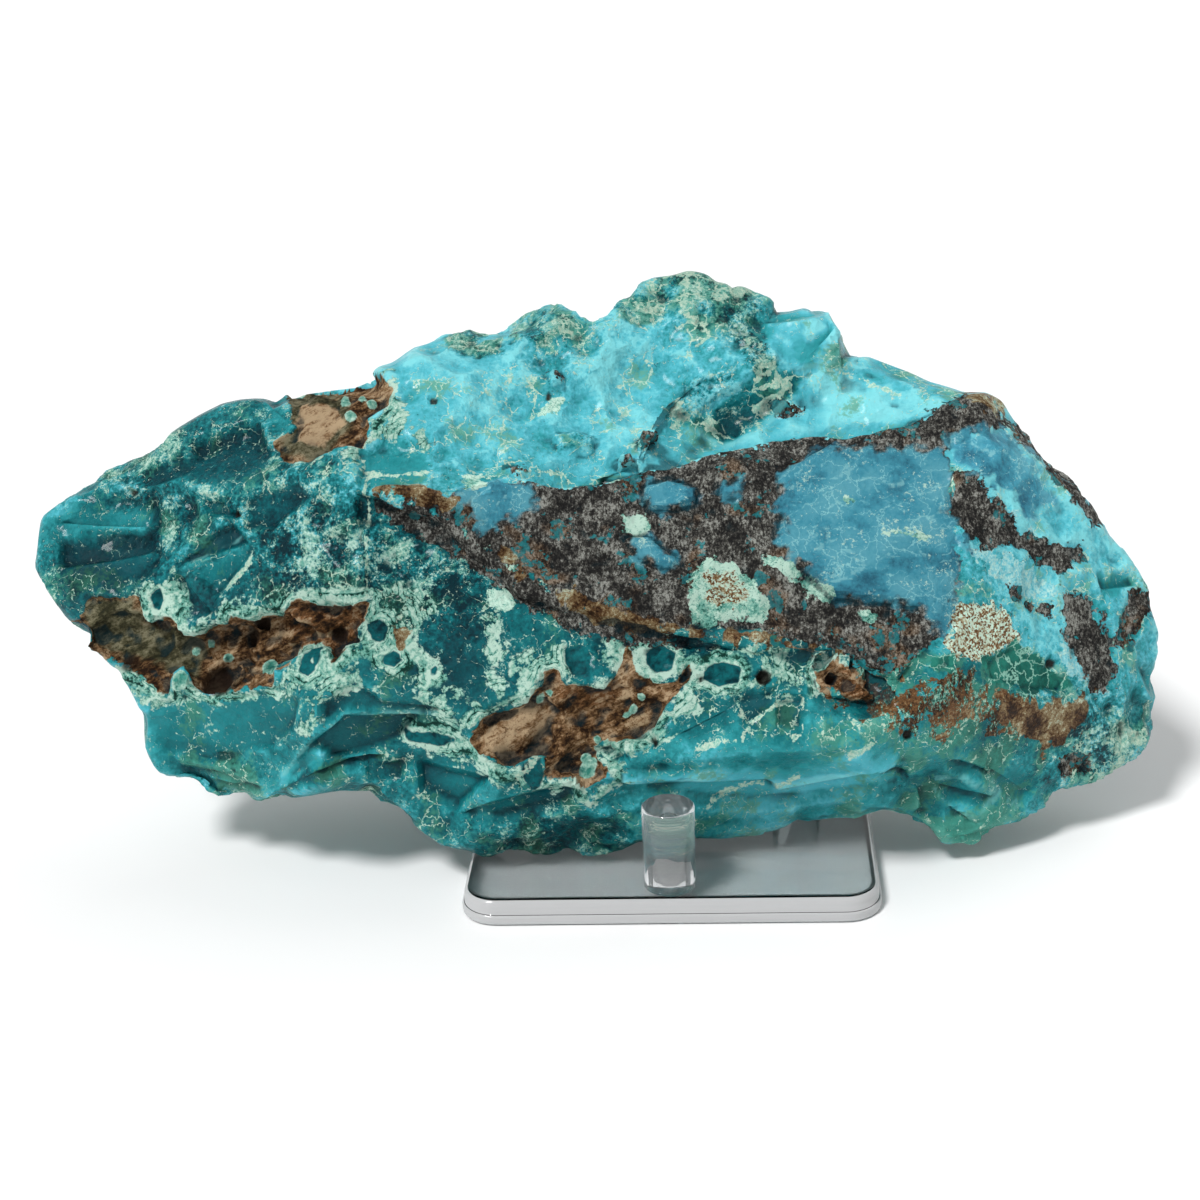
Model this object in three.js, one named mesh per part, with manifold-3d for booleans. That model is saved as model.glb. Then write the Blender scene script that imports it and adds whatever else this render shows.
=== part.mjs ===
// A raw chrysocolla specimen on a clear three-peg display stand. Millimetres, +Z up, +Y away from the viewer.
// The stone is one solid: a body inside the stone's own outline, broken down by fracture faces, with
// knobs grown on it and hollows where the soft brown clay has weathered out.
import * as THREE from "three";
import { mergeVertices } from "three/addons/utils/BufferGeometryUtils.js";
import Module from "manifold-3d";

const wasm = await Module();
wasm.setup();

// Stand
const BASE_WIDTH = 101.6;
const BASE_DEPTH = 76.2;
const BASE_THICKNESS = 6.35;
const BASE_CORNER = 9;
const FOOT_HEIGHT = 2.6; // lower step of the moulded edge
const FOOT_BEVEL = 0.7;
const STEP_INSET = 0.6;
const TOP_BEVEL = 1.9;
const PEG_RADIUS = 6.35;
const PEG_HEIGHT = 21.2;
const PEG_CHAMFER = 0.5;
const FRONT_PEG_Y = -29.8;
const REAR_PEG_Y = 25.5;
const REAR_PEG_SPREAD = 64; // between the two rear pegs
const PEG_FACETS = 36;

// Stone placement: its face leans back and is turned a little on the stand
const STONE_POSITION = new THREE.Vector3(-16, 1.1, 67.9);
const LEAN = THREE.MathUtils.degToRad(22.3);
const TURN = THREE.MathUtils.degToRad(3.85);
const ROLL = THREE.MathUtils.degToRad(-2.55);
const REST_GAP = 0.3; // between the stone's lowest point and the plate

// Underside: it rises towards the back, over the rear pegs, and the right lobe hangs lower
const KEEL_Y = -16.7;
const UNDERSIDE_SLOPE = 0.62;
const UNDERSIDE_WAVE = 0.4;
const LOBE_Y = -9;
const LOBE_Z = 4.6;

// The outline is stated as seen from EYE mm in front of the stone's own plane, in picture units:
// FOCAL units of picture for each unit of slope, from the picture's centre.
const EYE = 520;
const FOCAL = 2130;
const PICTURE_CENTRE = [600, 600];
const HEART = [600, 580]; // picture point that the outline is measured round
const OUTLINE = [
  [40, 566], [44, 540], [47, 520], [63, 508], [81, 495], [98, 481], [117, 468], [142, 454],
  [163, 445], [184, 431], [204, 419], [224, 409], [242, 405], [260, 404], [278, 401], [305, 398],
  [331, 395], [357, 393], [372, 386], [380, 372], [395, 368], [416, 353], [434, 348], [443, 339],
  [462, 336], [484, 332], [507, 327], [513, 320], [532, 316], [545, 309], [560, 307], [579, 311],
  [590, 320], [600, 314], [612, 303], [625, 297], [638, 288], [656, 283], [673, 281], [689, 276],
  [704, 279], [713, 287], [725, 289], [729, 296], [739, 291], [751, 296], [758, 304], [763, 312],
  [780, 308], [806, 303], [817, 309], [832, 323], [843, 337], [850, 353], [854, 364], [866, 362],
  [884, 369], [908, 378], [927, 387], [945, 392], [963, 398], [985, 398], [998, 405], [1009, 424],
  [1025, 439], [1046, 463], [1067, 482], [1083, 503], [1098, 525], [1114, 546], [1132, 571],
  [1144, 592], [1146, 613], [1153, 632], [1159, 653], [1161, 690], [1153, 709], [1150, 728],
  [1143, 746], [1126, 768], [1111, 777], [1084, 782], [1066, 783], [1052, 794], [1050, 805],
  [1037, 821], [1006, 835], [982, 843], [958, 841], [942, 836], [924, 824], [913, 820], [898, 811],
  [872, 813], [845, 818], [821, 819], [808, 815], [796, 812], [783, 821], [760, 829], [727, 833],
  [697, 832], [665, 835], [637, 836], [622, 843], [610, 851], [598, 857], [588, 857], [578, 849],
  [558, 854], [530, 852], [508, 848], [488, 852], [470, 844], [443, 841], [425, 831], [415, 816],
  [402, 808], [386, 804], [373, 785], [340, 784], [310, 789], [290, 797], [278, 791], [266, 798],
  [256, 802], [243, 800], [220, 803], [202, 798], [186, 785], [168, 776], [155, 762], [148, 743],
  [147, 714], [142, 700], [133, 682], [120, 665], [108, 654], [91, 643], [88, 630], [73, 619],
  [60, 600], [48, 582],
];
const OUTLINE_ROWS = 14; // rings from the front of the body to its back
const RIM_DEPTH_LOW = -7; // depth of the outline at the keel and at the top ridge
const RIM_DEPTH_HIGH = -38;
const RIM_ROUGHNESS = 2;
const FRONT_REACH = 25;
const BACK_REACH = -72;
const FULLNESS = 2.5; // 2 is an ellipse, more is boxier
const FRACTURE_WAVE = 0.9; // height of the waves in a fracture face
const CUTTER_SIZE = 360;
const CUTTER_STEPS = 25;

// Repeatable smooth noise between -1 and 1.
function lattice(x, y, z) {
  const s = Math.sin(x * 127.1 + y * 311.7 + z * 74.7) * 43758.5453;
  return 2 * (s - Math.floor(s)) - 1;
}

function noise(x, y, z) {
  const cell = [Math.floor(x), Math.floor(y), Math.floor(z)];
  const t = [x - cell[0], y - cell[1], z - cell[2]].map((f) => f * f * (3 - 2 * f));
  let sum = 0;
  for (let corner = 0; corner < 8; corner++) {
    const on = [corner & 1, (corner >> 1) & 1, corner >> 2];
    const weight = on.reduce((w, bit, axis) => w * (bit ? t[axis] : 1 - t[axis]), 1);
    sum += weight * lattice(cell[0] + on[0], cell[1] + on[1], cell[2] + on[2]);
  }
  return sum;
}

// A point of the stone's own frame from a picture point and a depth towards the viewer.
function seen([px, py, depth]) {
  const scale = (EYE - depth) / FOCAL;
  return new THREE.Vector3(
    (px - PICTURE_CENTRE[0]) * scale,
    (PICTURE_CENTRE[1] - py) * scale,
    depth,
  );
}

function solidOf(geometry) {
  const bare = geometry.clone();
  bare.deleteAttribute("normal");
  bare.deleteAttribute("uv");
  const merged = mergeVertices(bare, 1e-4);
  const mesh = new wasm.Mesh({
    numProp: 3,
    vertProperties: new Float32Array(merged.attributes.position.array),
    triVerts: new Uint32Array(merged.index.array),
  });
  return new wasm.Manifold(mesh);
}

function geometryOf(solid) {
  const mesh = solid.getMesh();
  const stride = mesh.numProp;
  const positions = new Float32Array(mesh.numVert * 3);
  for (let i = 0; i < mesh.numVert; i++) {
    positions.set(mesh.vertProperties.subarray(i * stride, i * stride + 3), i * 3);
  }
  const geometry = new THREE.BufferGeometry();
  geometry.setAttribute("position", new THREE.BufferAttribute(positions, 3));
  geometry.setIndex(new THREE.BufferAttribute(mesh.triVerts, 1));
  geometry.computeVertexNormals();
  return geometry;
}

function moveVertices(geometry, move) {
  const position = geometry.attributes.position;
  const point = new THREE.Vector3();
  for (let i = 0; i < position.count; i++) {
    point.fromBufferAttribute(position, i);
    move(point);
    position.setXYZ(i, point.x, point.y, point.z);
  }
  return geometry;
}

function rimDepth(px, py) {
  const [top, bottom] = [280, 857];
  const share = (bottom - py) / (bottom - top);
  const plain = RIM_DEPTH_LOW + (RIM_DEPTH_HIGH - RIM_DEPTH_LOW) * share;
  return plain + RIM_ROUGHNESS * noise(px / 60, py / 60, 3);
}

// The unbroken body: each meridian of a sphere becomes one spoke from the heart to an outline point.
function body() {
  const columns = OUTLINE.length;
  const sphere = new THREE.SphereGeometry(1, columns, OUTLINE_ROWS);
  return solidOf(
    moveVertices(sphere, (p) => {
      const across = Math.hypot(p.x, p.z);
      const turn = Math.atan2(-p.z, -p.x) / (2 * Math.PI);
      const column = Math.round((turn + 1) * columns) % columns;
      const length = (across ** FULLNESS + Math.abs(p.y) ** FULLNESS) ** (1 / FULLNESS);
      const [spread, rise] = [across / length, p.y / length];
      const [ox, oy] = OUTLINE[column];
      const px = HEART[0] + (ox - HEART[0]) * spread;
      const py = HEART[1] + (oy - HEART[1]) * spread;
      const rim = rimDepth(px, py);
      const reach = rise > 0 ? FRONT_REACH - rim : rim - BACK_REACH;
      p.copy(seen([px, py, rim + rise * reach]));
    }),
  );
}

// Everything on the far side of a rough plane through three points; away points into the cutter.
function beyond(points, away, seed, waveHeight = FRACTURE_WAVE) {
  const [a, b, c] = points;
  const normal = new THREE.Vector3().crossVectors(b.clone().sub(a), c.clone().sub(a)).normalize();
  if (normal.dot(away) < 0) normal.negate();
  const half = CUTTER_SIZE / 2;
  const block = new THREE.BoxGeometry(
    CUTTER_SIZE, CUTTER_SIZE, CUTTER_SIZE, CUTTER_STEPS, CUTTER_STEPS, 1,
  );
  moveVertices(block, (p) => {
    const wave = noise(p.x / 26, p.y / 26, seed) + 0.5 * noise(p.x / 12, p.y / 12, seed + 9);
    p.z = p.z < 0 ? waveHeight * wave : p.z + half;
  });
  const turn = new THREE.Quaternion().setFromUnitVectors(new THREE.Vector3(0, 0, 1), normal);
  const middle = a.clone().add(b).add(c).divideScalar(3);
  block.applyMatrix4(new THREE.Matrix4().compose(middle, turn, new THREE.Vector3(1, 1, 1)));
  return solidOf(block);
}

const TO_VIEWER = new THREE.Vector3(0, 0, 1);
const FROM_VIEWER = new THREE.Vector3(0, 0, -1);

// One fracture: what lies in front of every one of its faces is gone.
function fracture(faces, seed, away = TO_VIEWER) {
  return faces
    .map((face, i) => beyond(face.map(seen), away, seed + 5 * i))
    .reduce((whole, part) => whole.intersect(part));
}

// A lumpy ellipsoid, for knobs and for weathered hollows.
function lump(centre, [rx, ry, rz], seed, roughness = 0.22, detail = 3) {
  const ball = new THREE.IcosahedronGeometry(1, detail);
  moveVertices(ball, (p) => {
    const bump = noise(p.x * 1.7 + seed, p.y * 1.7, p.z * 1.7);
    const grain = noise(p.x * 4 + seed, p.y * 4, p.z * 4);
    p.multiplyScalar(1 + roughness * (bump + 0.4 * grain));
    p.set(p.x * rx, p.y * ry, p.z * rz);
  });
  return solidOf(ball.translate(...seen(centre).toArray()));
}

// A shell-like bite: a large ball that goes bite mm into the stone at a picture point.
function scoop(at, facing, radius, bite) {
  const ball = new THREE.IcosahedronGeometry(radius, 8);
  const out = new THREE.Vector3(...facing).normalize();
  const centre = seen(at).addScaledVector(out, radius - bite);
  return solidOf(ball.translate(...centre.toArray()));
}

// A picture polygon sunk to a floor through three points, with walls along the line of sight.
function sunk(polygon, floor) {
  const shape = new THREE.Shape(polygon.map(([px, py]) => new THREE.Vector2(px, -py)));
  const [a, b, c] = floor.map((p) => new THREE.Vector3(...p));
  const plane = new THREE.Plane().setFromCoplanarPoints(a, b, c);
  const prism = new THREE.ExtrudeGeometry(shape, { depth: 1, bevelEnabled: false });
  moveVertices(prism, (p) => {
    const [px, py] = [p.x, -p.y];
    const { normal, constant } = plane;
    const low = -(normal.x * px + normal.y * py + constant) / normal.z;
    p.copy(seen([px, py, p.z > 0.5 ? 60 : low]));
  });
  return solidOf(prism);
}

// Fracture faces of the front, each through three points [picture x, picture y, depth].
const FRONT_FACES = [
  [[370, 487, 8], [1000, 405, -8], [690, 280, -33]], // bright top
  [[370, 487, 8], [1000, 405, -8], [910, 672, 16]], // dark matrix sheet with blue glass
  [[1000, 405, -8], [965, 560, 6], [1140, 600, -21]], // right end, above
  [[965, 560, 6], [930, 690, 14], [1158, 690, -20]], // right end, below
  [[930, 690, 14], [1130, 760, -21], [1000, 838, -12]], // lower right
  [[60, 512, -20], [365, 480, 8], [240, 405, -22]], // left shoulder
  [[48, 560, -20], [365, 490, 8], [365, 600, 10]], // left cheek
  [[75, 600, -20], [365, 600, 10], [300, 690, 6]], // left, at the clay hollow
  [[150, 700, -14], [300, 690, 7], [255, 800, -9]], // lower left lobe
  [[365, 600, 10], [520, 600, 13], [480, 760, 11]], // middle
  [[480, 760, 12], [760, 740, 18], [600, 857, -7]], // lower lip
];

// The same for the back, which faces away.
const BACK_FACES = [
  [[300, 500, -58], [800, 480, -66], [600, 760, -60]],
  [[40, 560, -30], [330, 400, -58], [330, 700, -54]],
  [[1160, 640, -28], [850, 450, -62], [870, 760, -50]],
  [[500, 320, -44], [800, 330, -46], [650, 470, -68]],
  [[200, 430, -36], [420, 350, -44], [380, 520, -62]],
  [[1000, 400, -30], [1130, 560, -30], [850, 500, -62]],
  [[170, 780, -20], [420, 840, -18], [350, 660, -56]],
  [[1050, 800, -18], [800, 830, -18], [900, 660, -56]],
];

function stone() {
  let solid = body();
  const cut = (tool) => {
    solid = solid.subtract(tool);
  };
  const grow = (piece) => {
    solid = solid.add(piece);
  };
  FRONT_FACES.forEach((face, i) => cut(fracture([face], 20 + i)));
  BACK_FACES.forEach((face, i) => cut(fracture([face], 60 + i, FROM_VIEWER)));

  // Knobs and broken blocks along the top ridge
  grow(lump([558, 347, -32], [12, 8, 8], 1));
  grow(lump([676, 324, -33], [16, 9, 9], 2));
  grow(lump([738, 323, -32], [9, 7, 8], 3, 0.3));
  grow(lump([799, 345, -29], [12, 9, 10], 4, 0.12, 1));
  grow(lump([464, 373, -27], [13, 7, 8], 5));
  grow(lump([340, 424, -15], [13, 6, 6], 6, 0.3));

  // The strip behind the matrix rim lies lower than the plateau above it, with a steep ledge between
  const strip = [[690, 428, -10.6], [800, 395, -18.1], [900, 428, -5]];
  const ledge = [[690, 428, -10.6], [800, 395, -18.1], [740, 385, -15]];
  const stripEnd = [[700, 428, -11], [630, 430, 2], [690, 470, -4]];
  cut(fracture([strip, ledge, stripEnd], 31));

  // The matrix sheet stands proud of the teal stone under its lower left edge
  cut(sunk(
    [[352, 482], [372, 492], [440, 522], [478, 556], [520, 592], [600, 616], [700, 640], [800, 652],
      [880, 676], [905, 712], [700, 735], [560, 700], [430, 680], [362, 600]],
    [[370, 500, 4], [700, 652, 13], [470, 690, 13]],
  ));

  // Conchoidal bites
  cut(scoop([470, 430, 0], [-0.1, 0.75, 1], 60, 2.4));
  cut(scoop([640, 395, -8], [0.1, 0.9, 1], 70, 1.6));
  cut(scoop([225, 735, 1], [-0.4, -0.5, 1], 48, 3.2));
  cut(scoop([345, 745, 7], [0.5, -0.6, 1], 34, 4.5));
  cut(scoop([425, 780, 2], [-0.2, -0.9, 1], 30, 2.5));
  cut(scoop([945, 775, 3], [0.1, -0.9, 1], 30, 2.8));
  cut(scoop([790, 790, 4], [0, -1, 0.9], 80, 2.2));
  cut(scoop([215, 560, -3], [-0.5, 0.1, 1], 26, 2.4));
  cut(scoop([120, 545, -12], [-0.7, 0.3, 1], 34, 1.6));
  cut(scoop([1060, 520, -10], [0.6, 0.4, 1], 60, 1.4));
  cut(scoop([1098, 705, -10], [0.5, -0.2, 1], 30, 1.5));
  cut(scoop([420, 600, 10], [0, 0.1, 1], 60, 1.6));

  // Larger, blunter bites out of the back
  cut(scoop([430, 560, -57], [-0.3, 0.2, -1], 75, 4));
  cut(scoop([620, 430, -60], [0.1, 0.5, -1], 60, 4));
  cut(scoop([760, 600, -62], [0.3, -0.2, -1], 70, 4));
  cut(scoop([560, 700, -58], [-0.1, -0.4, -1], 50, 3));
  cut(scoop([960, 580, -48], [0.7, 0.2, -1], 60, 4));
  cut(scoop([230, 640, -40], [-0.6, -0.2, -1], 60, 3.5));

  // Weathered clay hollows: the long one on the left, the one under the middle, and small vugs
  cut(lump([120, 634, -12], [13, 7, 8], 11, 0.3));
  cut(lump([190, 655, -5], [16, 8.5, 9], 12, 0.3));
  cut(lump([262, 640, 3], [15, 8, 9], 13, 0.3));
  cut(lump([325, 625, 9], [12, 7.5, 7], 14, 0.3));
  cut(lump([520, 728, 13], [12, 9, 6.5], 15, 0.3));
  cut(lump([600, 715, 16], [17, 8, 7.5], 16, 0.3));
  cut(lump([590, 755, 13], [9, 6.5, 6], 17, 0.3));
  cut(lump([763, 678, 18], [2.6, 2.1, 5], 18, 0.2, 2));
  cut(lump([838, 682, 16], [5, 2.4, 4], 19, 0.25, 2));
  cut(lump([237, 515, 2], [1.6, 1.8, 4], 20, 0.2, 2));

  return solid;
}

function roundedRectangle(width, depth, radius) {
  const [x, y] = [width / 2, depth / 2];
  const shape = new THREE.Shape();
  shape.moveTo(-x + radius, -y);
  shape.absarc(x - radius, -y + radius, radius, -Math.PI / 2, 0);
  shape.absarc(x - radius, y - radius, radius, 0, Math.PI / 2);
  shape.absarc(-x + radius, y - radius, radius, Math.PI / 2, Math.PI);
  shape.absarc(-x + radius, -y + radius, radius, Math.PI, 1.5 * Math.PI);
  return shape;
}

// One step of the plate, from low to high, drawn in by inset and rounded by bevel at both edges.
function step(low, high, inset, bevel) {
  const shrink = 2 * (inset + bevel);
  const shape = roundedRectangle(
    BASE_WIDTH - shrink, BASE_DEPTH - shrink, BASE_CORNER - inset - bevel,
  );
  const options = {
    depth: high - low - 2 * bevel,
    bevelThickness: bevel,
    bevelSize: bevel,
    bevelSegments: 2,
    curveSegments: 5,
  };
  return solidOf(new THREE.ExtrudeGeometry(shape, options).translate(0, 0, low + bevel));
}

function basePlate() {
  const foot = step(0, FOOT_HEIGHT, 0, FOOT_BEVEL);
  const top = step(FOOT_HEIGHT - FOOT_BEVEL, BASE_THICKNESS, STEP_INSET, TOP_BEVEL);
  return geometryOf(foot.add(top));
}

function pegGeometry() {
  const profile = [
    [0, 0],
    [PEG_RADIUS, 0],
    [PEG_RADIUS, PEG_HEIGHT - PEG_CHAMFER],
    [PEG_RADIUS - PEG_CHAMFER, PEG_HEIGHT],
    [0, PEG_HEIGHT],
  ].map(([r, h]) => new THREE.Vector2(r, h));
  return new THREE.LatheGeometry(profile, PEG_FACETS).rotateX(Math.PI / 2);
}

function acrylic() {
  return new THREE.MeshStandardMaterial({ color: 0xdfe6e8, roughness: 0.06, metalness: 0 });
}

function peg(name, x, y) {
  const mesh = new THREE.Mesh(pegGeometry(), acrylic());
  mesh.name = name;
  mesh.position.set(x, y, BASE_THICKNESS);
  return mesh;
}

// The stone's frame turned into the stand's frame.
function stoneMatrix() {
  const lean = new THREE.Matrix4().makeRotationX(Math.PI / 2 - LEAN);
  const roll = new THREE.Matrix4().makeRotationZ(ROLL);
  return new THREE.Matrix4()
    .makeTranslation(STONE_POSITION)
    .multiply(new THREE.Matrix4().makeRotationZ(TURN))
    .multiply(lean)
    .multiply(roll);
}

// A slope that falls away under the stone: it passes through (x, y, z) and rises towards the back.
function underSlope(y, z, seed) {
  const points = [[-60, y], [60, y], [0, y + 60]].map(
    ([px, py]) => new THREE.Vector3(px, py, z + UNDERSIDE_SLOPE * (py - y)),
  );
  return beyond(points, new THREE.Vector3(0, 0, -1), seed, UNDERSIDE_WAVE);
}

// The stone where it rests, broken off by its own underside just above the plate.
function restingStone() {
  const geometry = geometryOf(stone()).applyMatrix4(stoneMatrix());
  const floor = BASE_THICKNESS + REST_GAP;
  const overPlate = new THREE.BoxGeometry(BASE_WIDTH + 2, BASE_DEPTH + 2, floor);
  const lobeWall = [[61, -30, 0], [57, 20, 0], [66, 0, 30]].map((p) => new THREE.Vector3(...p));
  const leftOfLobe = beyond(lobeWall, new THREE.Vector3(-1, 0, 0), 97);
  return solidOf(geometry)
    .subtract(underSlope(KEEL_Y, floor, 90).intersect(leftOfLobe))
    .subtract(underSlope(LOBE_Y, LOBE_Z, 95))
    .subtract(solidOf(overPlate.translate(0, 0, floor / 2)));
}

function stoneMesh() {
  const material = new THREE.MeshStandardMaterial({ color: 0x1f8f96, roughness: 0.45, metalness: 0 });
  const mesh = new THREE.Mesh(geometryOf(restingStone()), material);
  mesh.name = "chrysocolla_stone";
  return mesh;
}

function plateMesh() {
  const mesh = new THREE.Mesh(basePlate(), acrylic());
  mesh.name = "stand_base";
  return mesh;
}

// The origin is at the middle of the whole piece, level with the stand's underside.
function standUpright(pieces) {
  const holder = new THREE.Group();
  holder.add(...pieces);
  const middle = new THREE.Box3().setFromObject(holder).getCenter(new THREE.Vector3());
  holder.position.set(-middle.x, -middle.y, 0);
  return holder;
}

const specimen = new THREE.Group();
specimen.add(standUpright([
  stoneMesh(),
  plateMesh(),
  peg("front_peg", 0, FRONT_PEG_Y),
  peg("rear_peg_left", -REAR_PEG_SPREAD / 2, REAR_PEG_Y),
  peg("rear_peg_right", REAR_PEG_SPREAD / 2, REAR_PEG_Y),
]));

export default specimen;
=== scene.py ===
import math

import bmesh
import bpy
import numpy as np
from mathutils import Matrix, Vector, noise


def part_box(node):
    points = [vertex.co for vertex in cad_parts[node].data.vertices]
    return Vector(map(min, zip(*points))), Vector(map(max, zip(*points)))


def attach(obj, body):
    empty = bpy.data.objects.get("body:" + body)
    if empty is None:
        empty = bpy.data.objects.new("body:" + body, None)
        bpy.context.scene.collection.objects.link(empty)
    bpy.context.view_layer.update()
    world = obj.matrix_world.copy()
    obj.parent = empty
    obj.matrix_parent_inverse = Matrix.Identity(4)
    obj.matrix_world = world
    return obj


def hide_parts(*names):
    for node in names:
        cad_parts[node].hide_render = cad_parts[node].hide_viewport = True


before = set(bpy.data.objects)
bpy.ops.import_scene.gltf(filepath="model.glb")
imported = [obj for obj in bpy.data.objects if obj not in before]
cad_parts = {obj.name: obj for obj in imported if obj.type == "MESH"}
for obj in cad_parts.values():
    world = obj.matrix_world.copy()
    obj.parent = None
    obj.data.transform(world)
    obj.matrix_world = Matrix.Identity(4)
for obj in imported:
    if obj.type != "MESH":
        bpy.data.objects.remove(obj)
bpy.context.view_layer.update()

# The photograph's camera, in millimetres from the middle of the stand's underside
CAMERA_PLACE = (16.3, -479.0, 265.0)
CAMERA_YAW = math.radians(3.85)
CAMERA_PITCH = math.radians(22.27)
CAMERA_ROLL = math.radians(2.55)
PICTURE_SIZE = 1200
PICTURE_FOCAL = 2130
SENSOR = 36

# The stone's mesh, its lengths in millimetres
VOXEL = 1.09
SEED = 7
MOST_GROWTH = 1.6
HOLLOW_REACH = 24
FAR_OUTSIDE = -20.0
CHIP_BLOCK = 4000
FEWEST_POINTS = 12
FACET_TILT = 0.05
FACET_HOLLOW = 0.45
FACET_SINK = 0.35
FACET_FALL = 1.8
FACET_RISE = 1.2
FACET_WEAR = 1.2
FACET_RELIEF = 0.25
SHARP_ANGLE = math.radians(22)
PLATE_GAP = 0.2
PEG_GAP = 0.15

# Where the back begins: the outline's depth before the stone's plane, at the keel and at the top
EYE = 520
MM_PER_PIXEL = EYE / PICTURE_FOCAL
RIM_LOW = -7
RIM_HIGH = -38
OUTLINE_TOP = 280
OUTLINE_BOTTOM = 857
BACK_BEGINS = 6
BACK_BLEND = 10
BACK_WANDER = 6

# The stand, in millimetres
FOOT_HEIGHT = 2.6
FOOT_BEVEL = 0.7
STEP_INSET = 0.6
TOP_BEVEL = 1.9
BASE_CORNER = 9
CORNER_STEPS = 12
PEG_CHAMFER = 0.5
PEG_FOOT = 0.15
PEG_SIDES = 96
GLUE_GAP = 0.04
LEVEL = 0.9
PEGS = ("front_peg", "rear_peg_left", "rear_peg_right")

# The floor, in metres
FLOOR_FLAT = 4
FLOOR_REACH = 40
FLOOR_LIFT = 4
FLOOR_SINK = 0.0002
FLOOR_SIDES = 64
FLOOR_RINGS = 10


def box_of(node):
    low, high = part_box(node)
    return np.array(low) * 1000, np.array(high) * 1000


BASE_LOW, BASE_HIGH = box_of("stand_base")
STAND_CENTRE = np.array([*(BASE_LOW + BASE_HIGH)[:2] / 2, 0.0])


def camera_axes():
    """Right, up and forward of the photograph's camera."""
    right = np.array([math.cos(CAMERA_YAW), math.sin(CAMERA_YAW), 0])
    ahead = np.array([-math.sin(CAMERA_YAW), math.cos(CAMERA_YAW), 0])
    forward = ahead * math.cos(CAMERA_PITCH) - np.array([0, 0, math.sin(CAMERA_PITCH)])
    up = ahead * math.sin(CAMERA_PITCH) + np.array([0, 0, math.cos(CAMERA_PITCH)])
    turned_right = right * math.cos(CAMERA_ROLL) - up * math.sin(CAMERA_ROLL)
    turned_up = right * math.sin(CAMERA_ROLL) + up * math.cos(CAMERA_ROLL)
    return turned_right, turned_up, forward


RIGHT, UP, FORWARD = camera_axes()
CAMERA = STAND_CENTRE + np.array(CAMERA_PLACE)


def picture_place(points):
    """Picture x, picture y and depth in front of the stone's plane, for points in millimetres."""
    away = points - CAMERA
    distance = away @ FORWARD
    half = PICTURE_SIZE / 2
    px = half + PICTURE_FOCAL * (away @ RIGHT) / distance
    py = half - PICTURE_FOCAL * (away @ UP) / distance
    return px, py, EYE - distance


def wave(points, size, octaves, seed):
    """Fractal noise about 0, with waves size millimetres long."""
    places = (points / size + 7.31 * seed).tolist()
    return np.array([noise.fractal(place, 1.0, 2.0, octaves) for place in places])


def warped(points, size, amount, seed):
    """The points moved about by noise, amount millimetres each way."""
    shift = [wave(points, size, 2, seed + axis) for axis in range(3)]
    return points + amount * np.stack(shift, axis=1)


def net(points, size):
    """Distance in millimetres from the walls of a net of cells, size millimetres wide."""
    nearest = [noise.voronoi(place)[0] for place in (points / size).tolist()]
    return np.array([far - near for near, far, *_ in nearest]) * size / 2


def ramp(value, low, high):
    t = np.clip((value - low) / (high - low), 0, 1)
    return t * t * (3 - 2 * t)


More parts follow.
